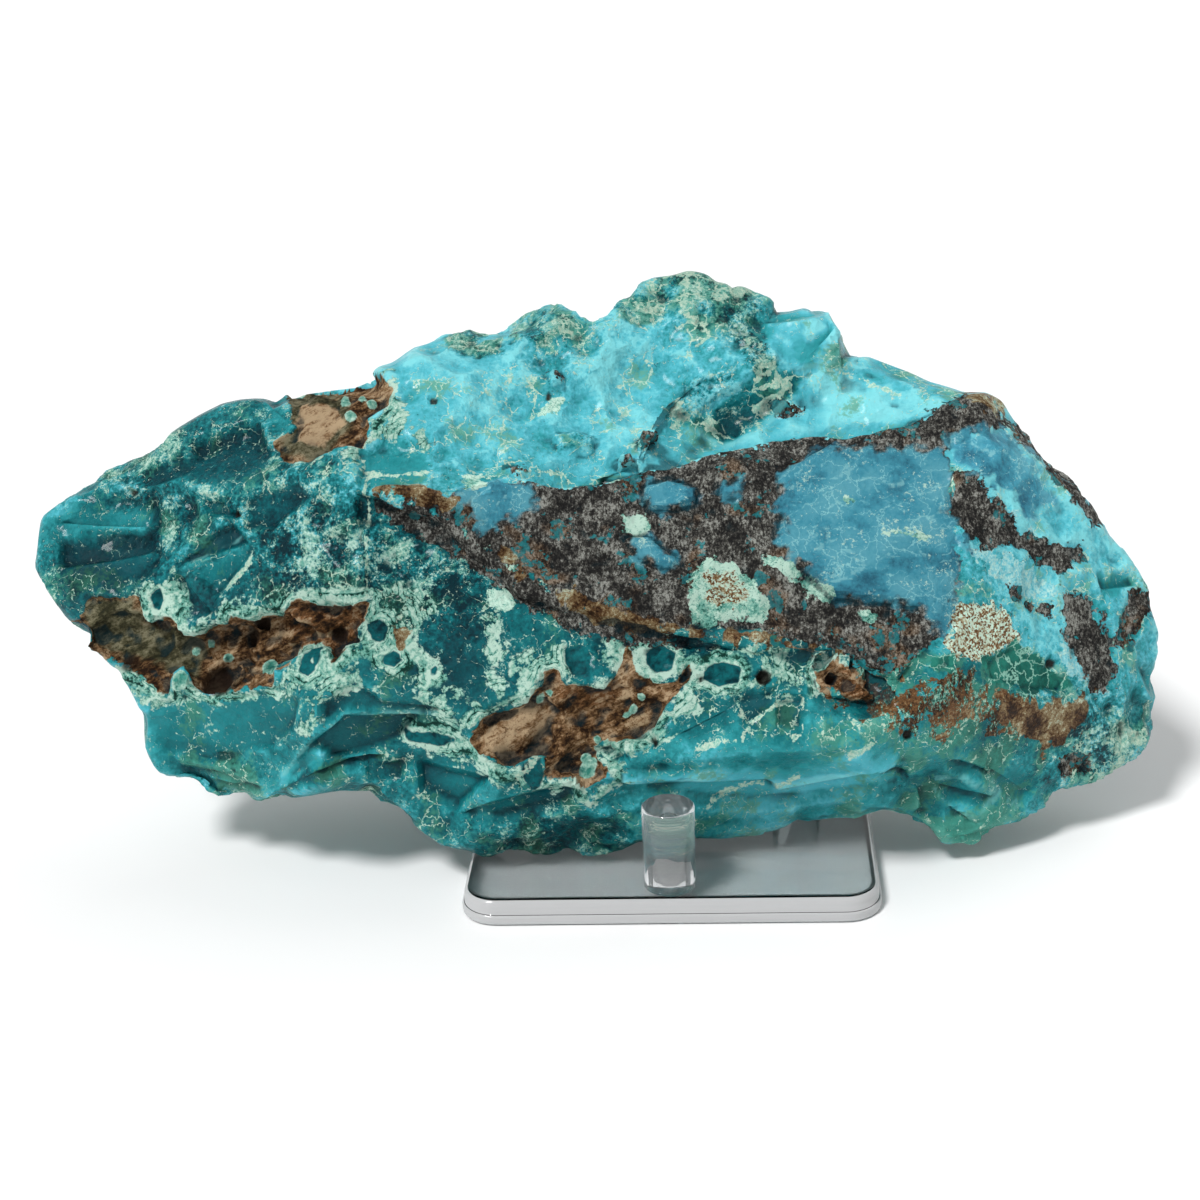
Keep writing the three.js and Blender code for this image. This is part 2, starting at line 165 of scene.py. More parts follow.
# Outlines and lines on the stone's two faces: a first picture point and each step to the next.
# The back is seen from behind.
FRONT = {
    "matrix": [
        "380,497 38,10 38,18 51,41 64,36 39,13 40,10 31,5 81,0 51,14 40,9 46,22 15,-12 28,-26 "
        "14,-27 6,-50 -14,-47 3,-73 58,-10 -13,-26 -33,-5 -64,23 -61,5 -62,6 -39,8 -56,13 -41,13 "
        "-43,12 -38,3 -44,-5 -35,13 -24,0 -16,10 -40,-6",
        "951,470 24,0 13,25 18,10 6,20 23,15 45,5 3,15 -23,12 -20,-6 -18,-14 -22,-5 -25,1 -13,-14 "
        "-12,-21",
        "994,580 18,20 18,12 25,5 -3,-14 -27,-3 -15,-12",
        "1125,590 21,0 2,22 -10,20 -16,18 -14,-6 10,-19",
        "1005,420 20,16 22,24 25,22 32,44 -12,2 -17,-23 -20,-25 -20,-18 -23,-17",
        "1058,586 32,14 23,40 -5,47 -23,3 -15,-30 -8,-40",
        "1054,764 16,-12 18,5 -2,12 -25,4",
        # This strip is painted shadow: a black band drawn as matrix under the overhanging lip of
        # the matrix sheet.
        "376,500 42,5 38,18 51,41 64,36 39,13 50,15 40,12 0,8 -85,-6 -45,-12 -55,-30 -50,-38 "
        "-50,-27 -43,-23",
        "641,423 14,-3 16,8 -11,5 -15,-2",
        "618,444 12,-2 6,7 -12,4",
        "550,366 8,-2 4,12 -9,4",
        "505,464 15,-3 10,7 -15,6",
        "773,401 10,-3 22,4 -5,5 -20,-1",
    ],
    "glass": [
        "829,437 42,6 74,6 6,21 -3,43 14,21 -2,37 -6,52 -12,14 -22,-31 -36,-6 -49,-5 -34,-31 "
        "-27,-19 9,-32 -3,-37 30,-27",
        "951,430 52,0 27,35 28,42 -33,8 -40,-43 -31,-6",
        "456,487 22,-7 42,-2 18,14 -8,16 -25,14 -18,10 -13,-12 -12,-15",
        "643,482 25,-7 28,7 2,16 -26,9 -22,-1",
        "626,533 24,-1 14,13 20,15 -16,6 -28,-10",
        "719,481 23,-2 2,14 -22,2",
    ],
    "clay": [
        "91,597 49,0 2,13 10,11 21,-4 10,14 21,4 20,-10 10,-8 21,3 10,-9 20,0 15,-12 36,3 33,-1 "
        "0,16 -10,13 5,15 -18,5 -12,13 -6,-23 -25,5 -8,18 -18,8 -2,15 -46,4 -20,4 -13,-8 -13,-15 "
        "-10,5 -5,20 -10,-12 -11,-8 -38,-20 -21,-16 -14,-18",
        "473,729 9,-11 24,-9 20,-8 13,-15 7,-12 10,-5 10,15 39,2 14,-17 8,-23 8,27 20,11 20,-1 "
        "13,-17 5,8 -15,19 -13,13 -10,20 -20,13 -43,5 4,12 13,16 -4,8 -19,9 -10,-13 -34,0 5,-17 "
        "-11,-2 -23,10 -10,-1 -14,-10 -13,-15",
        "285,392 41,0 33,-4 13,-13 15,5 5,13 -5,15 -18,13 0,18 -7,10 -21,0 -18,10 -23,5 -15,-2 "
        "-10,-16 10,-10 13,-10 -5,-13",
        "815,672 15,-6 18,6 14,12 12,12 -19,3 -17,-7 -18,-2",
    ],
    "pale_clay": [
        "486,736 10,-14 22,-16 30,-6 8,12 -10,20 -22,16 -24,8 -12,-8",
        "300,404 35,0 10,21 -23,19 -26,-4",
    ],
    "olive": [
        "78,600 52,-2 18,24 42,12 16,16 -10,30 -24,-10 -22,-10 -40,-10 -26,-18",
        "288,394 62,2 0,34 -32,28 -38,-6 4,-22",
    ],
    "orange": [
        "284,606 56,-6 31,1 -5,31 -18,20 -14,12 -8,-22 -24,4 -14,-14",
        "556,670 12,16 38,2 16,2 -22,22 -40,-12",
        "840,660 40,20 0,25 -44,-5",
    ],
    "grit": [
        "706,577 16,-11 16,12 8,18 -11,12 -19,-3 -10,-7",
        "955,604 30,-4 27,22 2,18 -24,16 -30,8 -15,-14",
    ],
    "mint_zone": [
        "138,590 12,-10 15,2 13,-7 8,25 10,20 16,-4 16,-12 32,-1 25,-7 35,-6 49,0 3,13 -36,3 "
        "-36,-3 -13,12 -22,0 -10,9 -21,-2 -10,9 -20,11 -21,-5 -10,-15 -21,5 -12,-13",
        "334,652 30,-7 -5,-15 8,-30 33,-15 20,5 12,10 4,12 -18,13 2,20 26,27 29,30 20,3 -15,15 "
        "-10,10 -30,-15 -30,-35 -30,-12 -25,22 -37,32 -12,20 -10,-7 9,-35 -25,-14 12,-21 11,-23 "
        "27,-2",
        "480,618 17,-6 9,20 -6,18 3,22 11,18 -9,10 -13,-20 -7,-30",
        "511,668 9,-16 25,-9 17,3 8,22 -4,16 -20,-6 -7,12 -15,13 -11,-8",
        "600,632 40,2 50,19 70,-10 40,12 45,13 10,14 -25,10 -60,8 -35,8 -23,-13 -32,2 10,-25 "
        "-35,18 -25,0 -14,0 -46,2 -10,-12 30,6 22,-10",
        "592,744 43,-7 20,-13 23,-31 16,-3 6,12 -20,20 -18,20 -22,15 -28,17 -16,-14",
        "400,712 40,6 36,19 16,19 23,12 25,-8 5,18 -45,4 -30,-22 -40,-12 -28,-13",
        "538,776 42,2 10,14 21,-8 7,-12 12,4 -30,24 -40,0",
        "88,640 21,16 38,20 11,8 12,13 10,-21 18,12 11,6 66,-6 7,2 -12,8 -58,6 -62,0 -30,-32 "
        "-36,-24",
        "387,376 9,4 4,22 10,18 20,16 10,10 -20,2 -36,-8 -20,10 -9,16 -7,-4 4,-16 16,-10 17,-24",
    ],
    "cell": [
        "152,592 10,-4 6,12 -5,11 -9,-2",
        "180,580 13,-7 16,8 15,16 -5,10 -13,10 -13,3 -7,-16",
        "370,622 10,-3 8,11 -4,11 -10,-1",
        "381,655 14,-5 9,8 -8,8 -12,-2",
        "301,662 10,-4 7,10 -6,8 -10,-3",
        "314,652 10,-2 2,12 -8,3",
        "248,661 10,1 1,10 -9,1",
        "265,661 10,0 1,10 -10,1",
        "224,655 8,0 1,8 -8,1",
        "566,648 18,-4 8,12 -4,18 -14,2 -8,-12",
        "645,650 17,-6 14,10 -4,18 -16,2 -10,-10",
        "706,668 18,-6 16,6 -2,14 -20,6 -14,-8",
        "432,666 6,0 0,8 -6,0",
        "404,728 36,0 26,10 -26,4 -30,-4",
        "520,765 23,-2 2,12 -15,11",
    ],
    "mint": [
        "684,592 17,-31 15,-5 14,2 22,22 16,27 -5,15 -31,-5 -23,13 -18,-13 5,-13",
        "622,508 26,2 2,12 -10,11 -16,-5",
        "767,552 18,8 30,17 19,14 -4,9 -18,-8 -30,-20 -16,-10",
        "465,470 13,-2 8,18 -22,2",
        "858,604 22,8 -2,8 -22,-7",
        "488,592 20,-2 6,16 -16,8 -12,-10",
        "884,531 21,-1 29,4 -2,4 -27,-4 -19,0",
        "844,495 13,1 0,7 -11,1",
        "548,388 12,-2 -2,12 -10,6 -8,-4",
    ],
    "sky": [
        "988,503 24,2 2,15 -14,2",
        "1010,532 22,-4 4,20 -18,4",
        "968,552 32,0 30,18 30,20 -4,14 -36,-6 -35,-23",
        "1060,640 30,10 18,40 -18,0 -30,-20",
    ],
    "tan": [
        "380,489 32,-1 32,4 12,8 -16,10 -28,-7 -24,-3",
        "560,590 15,2 45,16 35,14 9,10 -24,2 -40,-12 -34,-18",
        "500,545 12,13 18,17 -6,5 -20,-18",
        "960,396 25,0 15,10 0,10 -22,-6",
        "988,699 42,3 59,-2 -9,22 -30,25 -30,-15",
        "396,630 8,-4 9,6 -1,9 -10,4",
        "655,622 35,9 72,2 51,14 40,9 46,20 0,6 -49,-19 -40,-9 -50,-14 -70,-2",
    ],
    "rust": [
        "820,672 40,-4 40,18 60,-22 25,26 55,10 49,0 -14,25 -25,22 -40,-12 -35,-11 -45,10 -50,-10 "
        "-30,-18 -24,-12",
        "836,676 14,0 2,14 -14,0",
    ],
    "green_glass": [
        "981,660 27,-15 22,10 33,25 -2,13 -41,-1 -35,-12",
        "930,664 18,-9 2,13 -16,6",
    ],
    "vein_line": [
        "362,452 4,28 4,30 -4,30 0,30 -2,30",
        "224,596 12,-14 14,-14 6,-18",
        "738,742 14,-20 20,-14 18,-10",
        "800,697 6,15 -4,20 -10,6",
        "690,752 30,-10 24,-2",
        "740,700 2,16 10,12",
        "500,790 22,-20 16,-8",
        "700,806 40,-14 30,-6 30,-18",
        "846,712 24,28 -20,12",
        "360,471 35,3 33,-1",
        "830,368 32,8 38,14",
    ],
    "ridge_line": [
        "935,775 25,-2 25,16 9,7 21,10",
        "935,787 14,18 32,16",
        "978,812 16,-16 -9,-18",
        "439,708 -49,1 -45,2 -23,20 -22,24 -17,20",
        "193,562 22,-10 27,-14",
        "804,370 26,-8 12,-26",
        "697,423 27,4 31,-8 41,-24",
    ],
}
BACK = {
    "matrix": [
        "560,420 140,-20 160,40 100,80 -30,90 -130,30 -100,-40 -100,-40 -70,-60",
        "180,470 40,-10 30,40 -20,30 -40,-10",
    ],
    "glass": ["720,450 80,0 60,40 -10,70 -70,10 -50,-50"],
    "clay": ["240,600 90,-30 70,30 20,60 -80,30 -80,-20"],
    "pale_clay": ["250,606 70,-16 20,30 -40,30 -38,0"],
    "olive": [],
    "orange": ["330,570 70,30 20,60 -60,10"],
    "grit": ["530,560 50,-4 20,34 -40,20"],
    "mint_zone": ["200,580 120,-35 120,25 50,70 -40,70 -110,20 -110,-20 -40,-70"],
    "cell": [
        "430,600 30,0 2,40 -26,10",
        "300,696 50,4 -10,16 -30,-2",
    ],
    "mint": ["600,470 40,-10 10,40 -40,10"],
    "sky": ["880,430 60,20 10,40 -50,-10"],
    "tan": [
        "530,500 70,58 100,40 0,14 -100,-37 -76,-63",
        "820,640 80,-25 10,25 -70,28",
    ],
    "rust": ["760,650 80,10 20,40 -70,10"],
    "green_glass": ["960,640 50,-20 30,40 -50,30"],
    "vein_line": [
        "480,340 20,60 -14,60 14,60",
        "640,640 50,50 10,60",
    ],
    "ridge_line": ["800,740 60,-20 60,20"],
}
LINES = ("vein_line", "ridge_line")
LOOKS = ("tone", "green", "veins", "specks")

# How the copper silicate looks round each place: picture x and y, reach, then from 0 to 1
# brightness, greenness, cream veins and specks. On the front the brightness is partly the stone's
# own and partly painted light and shade: faces turned up to the light are lighter, faces turned
# down or away darker.
FRONT_LOOKS = [
    (400, 400, 34, .78, .00, .30, .25), (455, 385, 45, .91, .00, .25, .12),
    (480, 430, 36, .84, .00, .35, .30), (560, 325, 34, .80, .45, .30, .65),
    (540, 395, 40, .88, .05, .75, .30), (610, 420, 45, .92, .00, .30, .15),
    (640, 350, 40, .94, .00, .40, .25), (690, 296, 24, .76, .55, .75, .85),
    (742, 310, 22, .50, .85, .90, .95), (700, 385, 30, .86, .10, .95, .35),
    (795, 340, 36, .84, .00, .20, .10), (735, 425, 45, .96, .00, .15, .12),
    (755, 385, 22, .35, .30, .80, .60), (850, 395, 40, .86, .05, .25, .12),
    (915, 400, 36, .86, .20, .45, .20), (400, 470, 36, .78, .00, .40, .35),
    (320, 475, 26, .55, .10, .50, .60), (240, 425, 40, .50, .05, .20, .50),
    (150, 470, 34, .46, .35, .30, .95), (95, 520, 34, .54, .00, .15, .30),
    (110, 565, 34, .24, .00, .10, .30), (195, 485, 40, .28, .10, .20, .55),
    (58, 575, 18, .40, .55, .30, .70), (170, 540, 28, .28, .65, .35, .85),
    (215, 560, 26, .36, .05, .30, .40), (290, 515, 45, .32, .15, .35, .88),
    (310, 570, 40, .30, .35, .35, .90), (195, 598, 20, .22, .00, .05, .15),
    (255, 590, 26, .30, .10, .20, .45), (400, 540, 40, .30, .25, .20, .85),
    (440, 600, 40, .30, .12, .20, .75), (450, 665, 28, .24, .00, .10, .15),
    (560, 640, 45, .28, .00, .20, .35), (660, 655, 30, .28, .10, .40, .50),
    (195, 715, 40, .50, .12, .15, .22), (270, 715, 36, .44, .00, .30, .35),
    (235, 780, 30, .56, .55, .30, .50), (340, 740, 40, .40, .00, .15, .25),
    (290, 775, 18, .66, .00, .10, .08), (350, 710, 30, .44, .05, .20, .25),
    (400, 770, 30, .40, .20, .40, .60), (470, 800, 45, .37, .10, .30, .35),
    (445, 775, 26, .50, .00, .20, .15), (520, 842, 36, .26, .55, .20, .75),
    (600, 800, 40, .50, .20, .30, .40), (610, 850, 22, .24, .50, .10, .70),
    (680, 772, 36, .64, .10, .30, .20), (760, 790, 50, .76, .18, .15, .10),
    (835, 790, 36, .80, .20, .10, .10), (700, 826, 26, .34, .40, .15, .50),
    (800, 818, 22, .40, .35, .15, .50), (765, 722, 40, .28, .15, .30, .25),
    (690, 730, 30, .38, .20, .40, .35), (870, 755, 36, .58, .35, .25, .30),
    (965, 800, 45, .46, .45, .08, .12), (1000, 762, 36, .50, .45, .40, .45),
    (912, 800, 22, .40, .40, .20, .35), (1050, 795, 28, .48, .50, .30, .60),
    (1105, 740, 36, .56, .40, .45, .90), (1145, 690, 30, .74, .12, .25, .35),
    (1125, 610, 34, .74, .12, .30, .35), (1090, 560, 36, .92, .05, .30, .25),
    (1050, 520, 36, .94, .00, .30, .25), (975, 585, 26, .80, .15, .30, .45),
]
BACK_LOOKS = [
    (150, 560, 80, .40, .10, .20, .50), (330, 480, 70, .70, .00, .30, .25),
    (520, 360, 70, .85, .05, .50, .30), (700, 330, 60, .80, .20, .60, .40),
    (860, 400, 70, .60, .30, .40, .60), (560, 620, 80, .28, .10, .20, .50),
    (380, 760, 70, .50, .30, .30, .50), (640, 760, 80, .65, .10, .20, .20),
    (900, 720, 80, .45, .40, .30, .50), (1060, 600, 70, .60, .10, .30, .40),
    (1000, 450, 60, .70, .10, .40, .30),
]

# Flat broken facets and crusts: brightness, greenness, veins and specks in percent, depth in
# millimetres and the outline. On the front a facet's brightness is partly painted light and shade.
FRONT_FACETS = [
    "67 0 20 12 0.2: 760,313 30,-9 30,-4 7,22 -11,6 -27,13 -19,-5",
    "74 55 35 40 0.6: 822,298 18,20 16,22 0,20 -15,-20 -11,-18",
    # The ledge's side is painted shade: darker because it faces down and away from the light.
    "42 5 95 40 -0.1: 696,417 15,-3 15,-13 14,-13 16,-12 10,-3 17,-5 20,8 -7,15 -13,10 -17,7 -12,6 "
    "-14,7 -17,4",
    "92 0 15 10 -0.1: 694,419 29,8 31,-11 43,-23 33,-1 28,10 -18,10 -60,18 -50,8 -40,2",
    "62 0 5 5 2.4: 789,341 27,-13 8,-2 8,7 -10,20 4,6 -22,11 -10,-11 -3,-10",
    "64 65 30 40 1.0: 841,336 10,20 -5,14 -19,-4 -3,-8 8,-15",
    "72 0 20 5 0.0: 768,340 15,1 8,8 13,21 -23,-12",
    "105 5 20 12 -0.3: 827,368 35,6 38,11 45,17 -15,8 -50,2 -40,-10 -34,-26",
    "64 70 90 88 -0.8: 670,282 20,-5 16,3 17,12 25,1 11,15 -3,8 -10,7 -6,8 -7,-5 -13,4 -9,-12 "
    "-16,-20 -17,-11",
    "74 55 70 80 -0.5: 508,322 20,-16 28,3 18,11 -14,18 -25,8 -23,-6",
    "76 50 70 75 -0.4: 610,298 30,-13 31,6 -10,25 -23,10 -18,-5",
    "66 55 60 80 -0.3: 446,340 23,-8 33,2 0,15 -30,2",
    "90 10 100 70 -0.3: 681,370 56,-3 5,21 -30,15 -18,10 -13,-20",
    "55 35 100 95 -0.3: 726,323 20,-3 23,30 14,16 -27,10 -16,-23",
    "74 40 40 60 0.0: 553,424 22,-6 19,6 -6,13 -28,0",
    "14 0 5 8 1.3: 183,564 25,-24 26,-15 15,18 -30,11",
    "44 0 20 20 0.5: 193,567 56,-22 5,8 -25,31 -10,13",
    "14 0 5 8 0.6: 183,570 37,30 -11,15 -18,5 -16,-28",
    "52 0 10 18 0.2: 68,508 74,-6 10,21 -12,15 -59,-2 -20,-11",
    "19 0 10 12 0.2: 63,538 89,5 3,16 -15,15 -26,8 -48,-8",
    "20 5 10 30 0.5: 145,467 48,-8 16,23 -36,5 -23,5",
    "24 0 20 35 0.4: 196,446 64,-20 10,28 -10,33 -36,5 -31,-10",
    "18 5 10 40 0.4: 249,502 51,-20 11,15 -36,31 -26,2",
    "34 0 10 20 0.6: 196,497 28,3 15,18 -25,-3",
    "55 0 10 30 0.2: 261,405 21,-5 16,23 -13,16 -18,-21",
    "62 0 10 15 0.5: 357,451 71,6 0,28 -66,0",
    "46 0 15 10 0.7: 158,701 127,-13 15,13 -5,23 -23,21 -63,12 -46,-10 -11,-28",
    "50 75 30 40 0.0: 177,756 66,6 20,28 -20,10 -33,-10 -26,-16",
    "48 60 5 6 0.5: 205,777 23,-5 12,15 -28,3",
    "32 0 10 20 0.3: 324,703 31,-21 26,16 46,5 12,3 -46,2 -48,0 -21,15",
    "34 0 10 12 1.0: 345,713 74,0 -13,20 -46,18 -43,13 -38,20 33,-40",
    "66 0 0 3 1.0: 279,784 5,-12 28,-23 18,5 -26,18",
    "10 30 5 15 1.4: 319,764 51,-10 11,2 -51,18 -41,23 -10,-7",
    "38 0 20 30 0.2: 365,761 41,-2 -5,20 -31,-2",
    "36 0 10 10 0.8: 421,744 36,0 36,33 -36,33 -36,-20",
    "36 10 20 20 0.5: 463,811 50,-37 66,14 -13,17 -86,20",
    "76 16 12 8 0.1: 612,776 100,-10 99,-7 86,-13 3,44 -89,10 -40,4 -73,-2 -53,-12",
    "86 14 2 3 0.2: 771,776 91,-12 4,18 29,6 -117,12",
    "36 5 15 8 0.6: 738,699 37,-10 -4,17 -26,20",
    "47 12 30 12 0.3: 775,699 30,-3 -4,33 -23,-3",
    "40 10 30 20 0.3: 672,732 26,-33 34,4 0,29 -34,14",
    "16 0 0 3 1.2: 884,771 12,-12 11,19 -34,0 -9,-4",
    "37 40 3 4 1.4: 935,775 50,14 9,7 -16,14 -29,-9 -14,-16",
    "50 50 5 5 0.3: 935,787 14,18 32,16 -14,5 -18,-7",
    "41 40 3 4 1.2: 985,759 42,16 6,10 -18,20 -21,-9 -9,-18",
    "56 30 5 5 0.2: 946,757 35,0 4,21 -27,-9",
    "32 30 5 10 0.4: 910,785 20,2 2,18 -20,5",
    "34 60 15 25 0.2: 944,824 46,0 37,-10 0,7 -37,21 -32,-2",
    "62 0 10 10 0.4: 1135,663 27,11 0,28 -21,-5 -4,-16",
    "52 30 60 100 0.0: 1068,727 50,-4 23,9 -11,23 -23,16 -34,-2 -3,-19",
    "60 0 5 5 0.3: 1095,574 33,-3 7,18 -34,15",
]
BACK_FACETS = [
    "20 0 10 12 1.4: 110,560 90,-20 30,60 -60,40 -60,-30",
    "55 0 10 10 1.2: 250,480 90,-40 60,40 -50,60 -80,-10",
    "92 0 20 8 1.0: 420,420 100,-50 40,40 -40,60 -80,10",
    "45 60 20 40 0.8: 600,320 100,-10 20,50 -80,30",
    "30 0 5 8 1.5: 460,700 100,-20 60,60 -60,60 -90,-20",
    "66 0 5 5 1.0: 640,700 100,0 20,80 -100,20",
    "42 45 5 6 1.2: 800,740 100,-20 40,60 -80,40",
    "60 0 10 15 0.8: 1000,540 80,20 10,80 -70,0",
    "16 10 10 20 0.9: 300,740 100,-10 20,50 -90,20",
]

# Small holes: picture x and y, radius in pixels and depth in millimetres
HOLES = [
    (763, 678, 9, 2.6), (830, 680, 6, 1.4), (239, 515, 5, 1.6), (263, 625, 8, 2.4),
    (250, 639, 9, 2.6), (217, 682, 18, 2.0), (338, 636, 9, 1.8), (131, 662, 12, 1.6),
    (548, 385, 5, 1.2), (129, 491, 5, 1.2), (434, 404, 5, 1.2), (608, 470, 6, 1.0),
    (700, 680, 4, 1.2), (655, 742, 5, 1.4), (1048, 664, 7, 1.4), (905, 733, 6, 1.6),
]

# Small mint beads on and beside the clay: picture x and y, and radius in pixels
BEADS = [
    (598, 739, 4), (615, 744, 4), (606, 742, 4), (633, 709, 4), (627, 714, 4), (586, 758, 5),
    (594, 762, 4), (587, 771, 8), (228, 659, 5), (182, 682, 8), (271, 667, 8), (539, 701, 4),
    (548, 694, 4), (641, 700, 4), (210, 645, 4), (196, 652, 4), (372, 404, 5), (362, 400, 4),
    (345, 402, 5), (352, 418, 5),
]


def picture_points(text):
    """The points of an outline, written as its first point and each step to the next."""
    steps = [tuple(map(int, pair.split(","))) for pair in text.split()]
    return np.cumsum(steps, axis=0).tolist()


def read_facets(rows):
    """Looks from 0 to 1, depth and outline of each facet."""
    facets = []
    for row in rows:
        numbers, outline = row.split(":")
        *percents, depth = numbers.split()
        facets.append((*(int(look) / 100 for look in percents), float(depth), outline))
    return facets


def line_distance(px, py, points, closed):
    """Distance in pixels to the nearest side of an outline or line."""
    best = np.full(len(px), 1e9)
    ends = points[1:] + points[:1] if closed else points[1:]
    for (ax, ay), (bx, by) in zip(points, ends):
        dx, dy = bx - ax, by - ay
        t = np.clip(((px - ax) * dx + (py - ay) * dy) / (dx * dx + dy * dy), 0, 1)
        best = np.minimum(best, (px - ax - t * dx) ** 2 + (py - ay - t * dy) ** 2)
    return np.sqrt(best)


def inside(px, py, outline):
    """Distance in millimetres to an outline, more than 0 inside it."""
    polygon = picture_points(outline)
    within = np.zeros(len(px), bool)
    for (ax, ay), (bx, by) in zip(polygon, polygon[1:] + polygon[:1]):
        if ay != by:
            crosses = (ay > py) != (by > py)
            within ^= crosses & (px < (bx - ax) * (py - ay) / (by - ay) + ax)
    distance = line_distance(px, py, polygon, True) * MM_PER_PIXEL
    return np.where(within, distance, -distance)


def inside_any(px, py, outlines):
    return np.max([inside(px, py, outline) for outline in outlines], axis=0)


def near_any(px, py, lines):
    """Less the distance in millimetres to the nearest of some lines."""
    near = [line_distance(px, py, picture_points(line), False) for line in lines]
    return -np.min(near, axis=0) * MM_PER_PIXEL


def looks(px, py, spots):
    """Brightness, greenness, veins and specks, each spot weighing by its nearness."""
    total = np.full(len(px), 1e-9)
    sums = np.zeros((len(LOOKS), len(px)))
    for x, y, reach, *values in spots:
        weight = np.exp(-((px - x) ** 2 + (py - y) ** 2) / (2 * reach**2)) + 1e-7
        total += weight
        sums += weight * np.array(values)[:, None]
    return sums / total


def face_marks(px, py, face, spots, facets, depths_inside):
    """Each mark of one face: millimetres inside its outlines, or less the way to its lines."""
    marks = {}
    for name, shapes in face.items():
        if not shapes:
            marks[name] = np.full(len(px), FAR_OUTSIDE)
        elif name in LINES:
            marks[name] = near_any(px, py, shapes)
        else:
            marks[name] = inside_any(px, py, shapes)
    marks.update(zip(LOOKS, looks(px, py, spots)))
    for facet, inward in zip(facets, depths_inside):
        cover = ramp(inward, -0.4, 0.4)
        for name, value in zip(LOOKS, facet):
            marks[name] += cover * (value - marks[name])
    return marks


def cut_facets(points, normals, facets, depths_inside, side, seed):
    """How far the facets cover each point, and its way to the flat, tilted and hollowed face."""
    rng = np.random.default_rng(seed)
    share = np.zeros(len(points))
    way = np.zeros((len(points), 3))
    for facet, inward in zip(facets, depths_inside):
        specks, depth = facet[3:5]
        tilt = rng.normal(0, FACET_TILT, 3)
        within = ramp(inward, -1.0, 0.8) * side
        core = within > 0.5
        if depth < 0 or core.sum() < FEWEST_POINTS:
            continue
        flat = within * ramp(specks, 0.8, 0.4)
        centre = points[core].mean(0)
        spread = points[core] - centre
        facing = np.linalg.eigh(spread.T @ spread)[1][:, 0]
        facing = facing * np.sign(facing @ normals[core].mean(0)) + tilt
        facing /= np.linalg.norm(facing)
        height = (points - centre) @ facing
        aside = ((points - centre) ** 2).sum(1) - height**2
        hollow = FACET_HOLLOW * np.clip(1 - aside / aside[core].max(), 0, None)
        fall = np.clip(-height - FACET_SINK * depth - hollow, -FACET_FALL, FACET_RISE)
        way += flat[:, None] * (fall[:, None] * facing - way)
        share += flat * (1 - share)
    return share, way


def beads(px, py):
    """Distance in millimetres inside the nearest bead, less than 0 outside."""
    within = [radius - np.hypot(px - x, py - y) for x, y, radius in BEADS]
    return np.max(within, axis=0) * MM_PER_PIXEL


def holes(px, py):
    """How deep the small holes of the front go."""
    depth = np.zeros(len(px))
    for x, y, radius, deep in HOLES:
        away = np.hypot(px - x, py - y) / radius
        depth = np.maximum(depth, deep * ramp(away, 1.25, 0.3))
    return depth


def chips(points, spacing, radius, step, tilt, seed):
    """Shell-like bites that meet in sharp ridges: their depth, and a number for each bite."""
    rng = np.random.default_rng(seed)
    count = int(len(points) * VOXEL**2 / spacing**2)
    seeds = points[rng.choice(len(points), count, replace=False)]
    bend = radius * rng.uniform(0.6, 1.8, count)
    start = step * rng.uniform(0, 1, count)
    slope = rng.normal(0, tilt, (count, 3))
    rise = start - (seeds * slope).sum(1)
    depth = np.empty(len(points))
    owner = np.empty(len(points), int)
    for first in range(0, len(points), CHIP_BLOCK):
        rows = slice(first, first + CHIP_BLOCK)
        part = points[rows]
        squared = (part**2).sum(1)[:, None] + (seeds**2).sum(1) - 2 * part @ seeds.T
        value = rise + part @ slope.T - squared / (2 * bend)
        owner[rows] = value.argmax(1)
        depth[rows] = value.max(1)
    return depth - depth.mean(), rng.uniform(0, 1, count)[owner]


def remeshed(node, voxel):
    """A fine mesh of a node's solid, with voxels of a size in millimetres."""
    source = bpy.data.objects[node]
    copy = bpy.data.objects.new("rough_stone", source.data.copy())
    bpy.context.collection.objects.link(copy)
    modifier = copy.modifiers.new("even", "REMESH")
    modifier.mode = "VOXEL"
    modifier.voxel_size = voxel / 1000
    graph = bpy.context.evaluated_depsgraph_get()
    mesh = bpy.data.meshes.new_from_object(copy.evaluated_get(graph))
    old = copy.data
    bpy.data.objects.remove(copy)
    bpy.data.meshes.remove(old)
    return mesh


def vertex_array(mesh, what="vertices", key="co"):
    values = np.empty(len(mesh.vertices) * 3, np.float32)
    getattr(mesh, what).foreach_get(key, values)
    return values.reshape(-1, 3).astype(float)


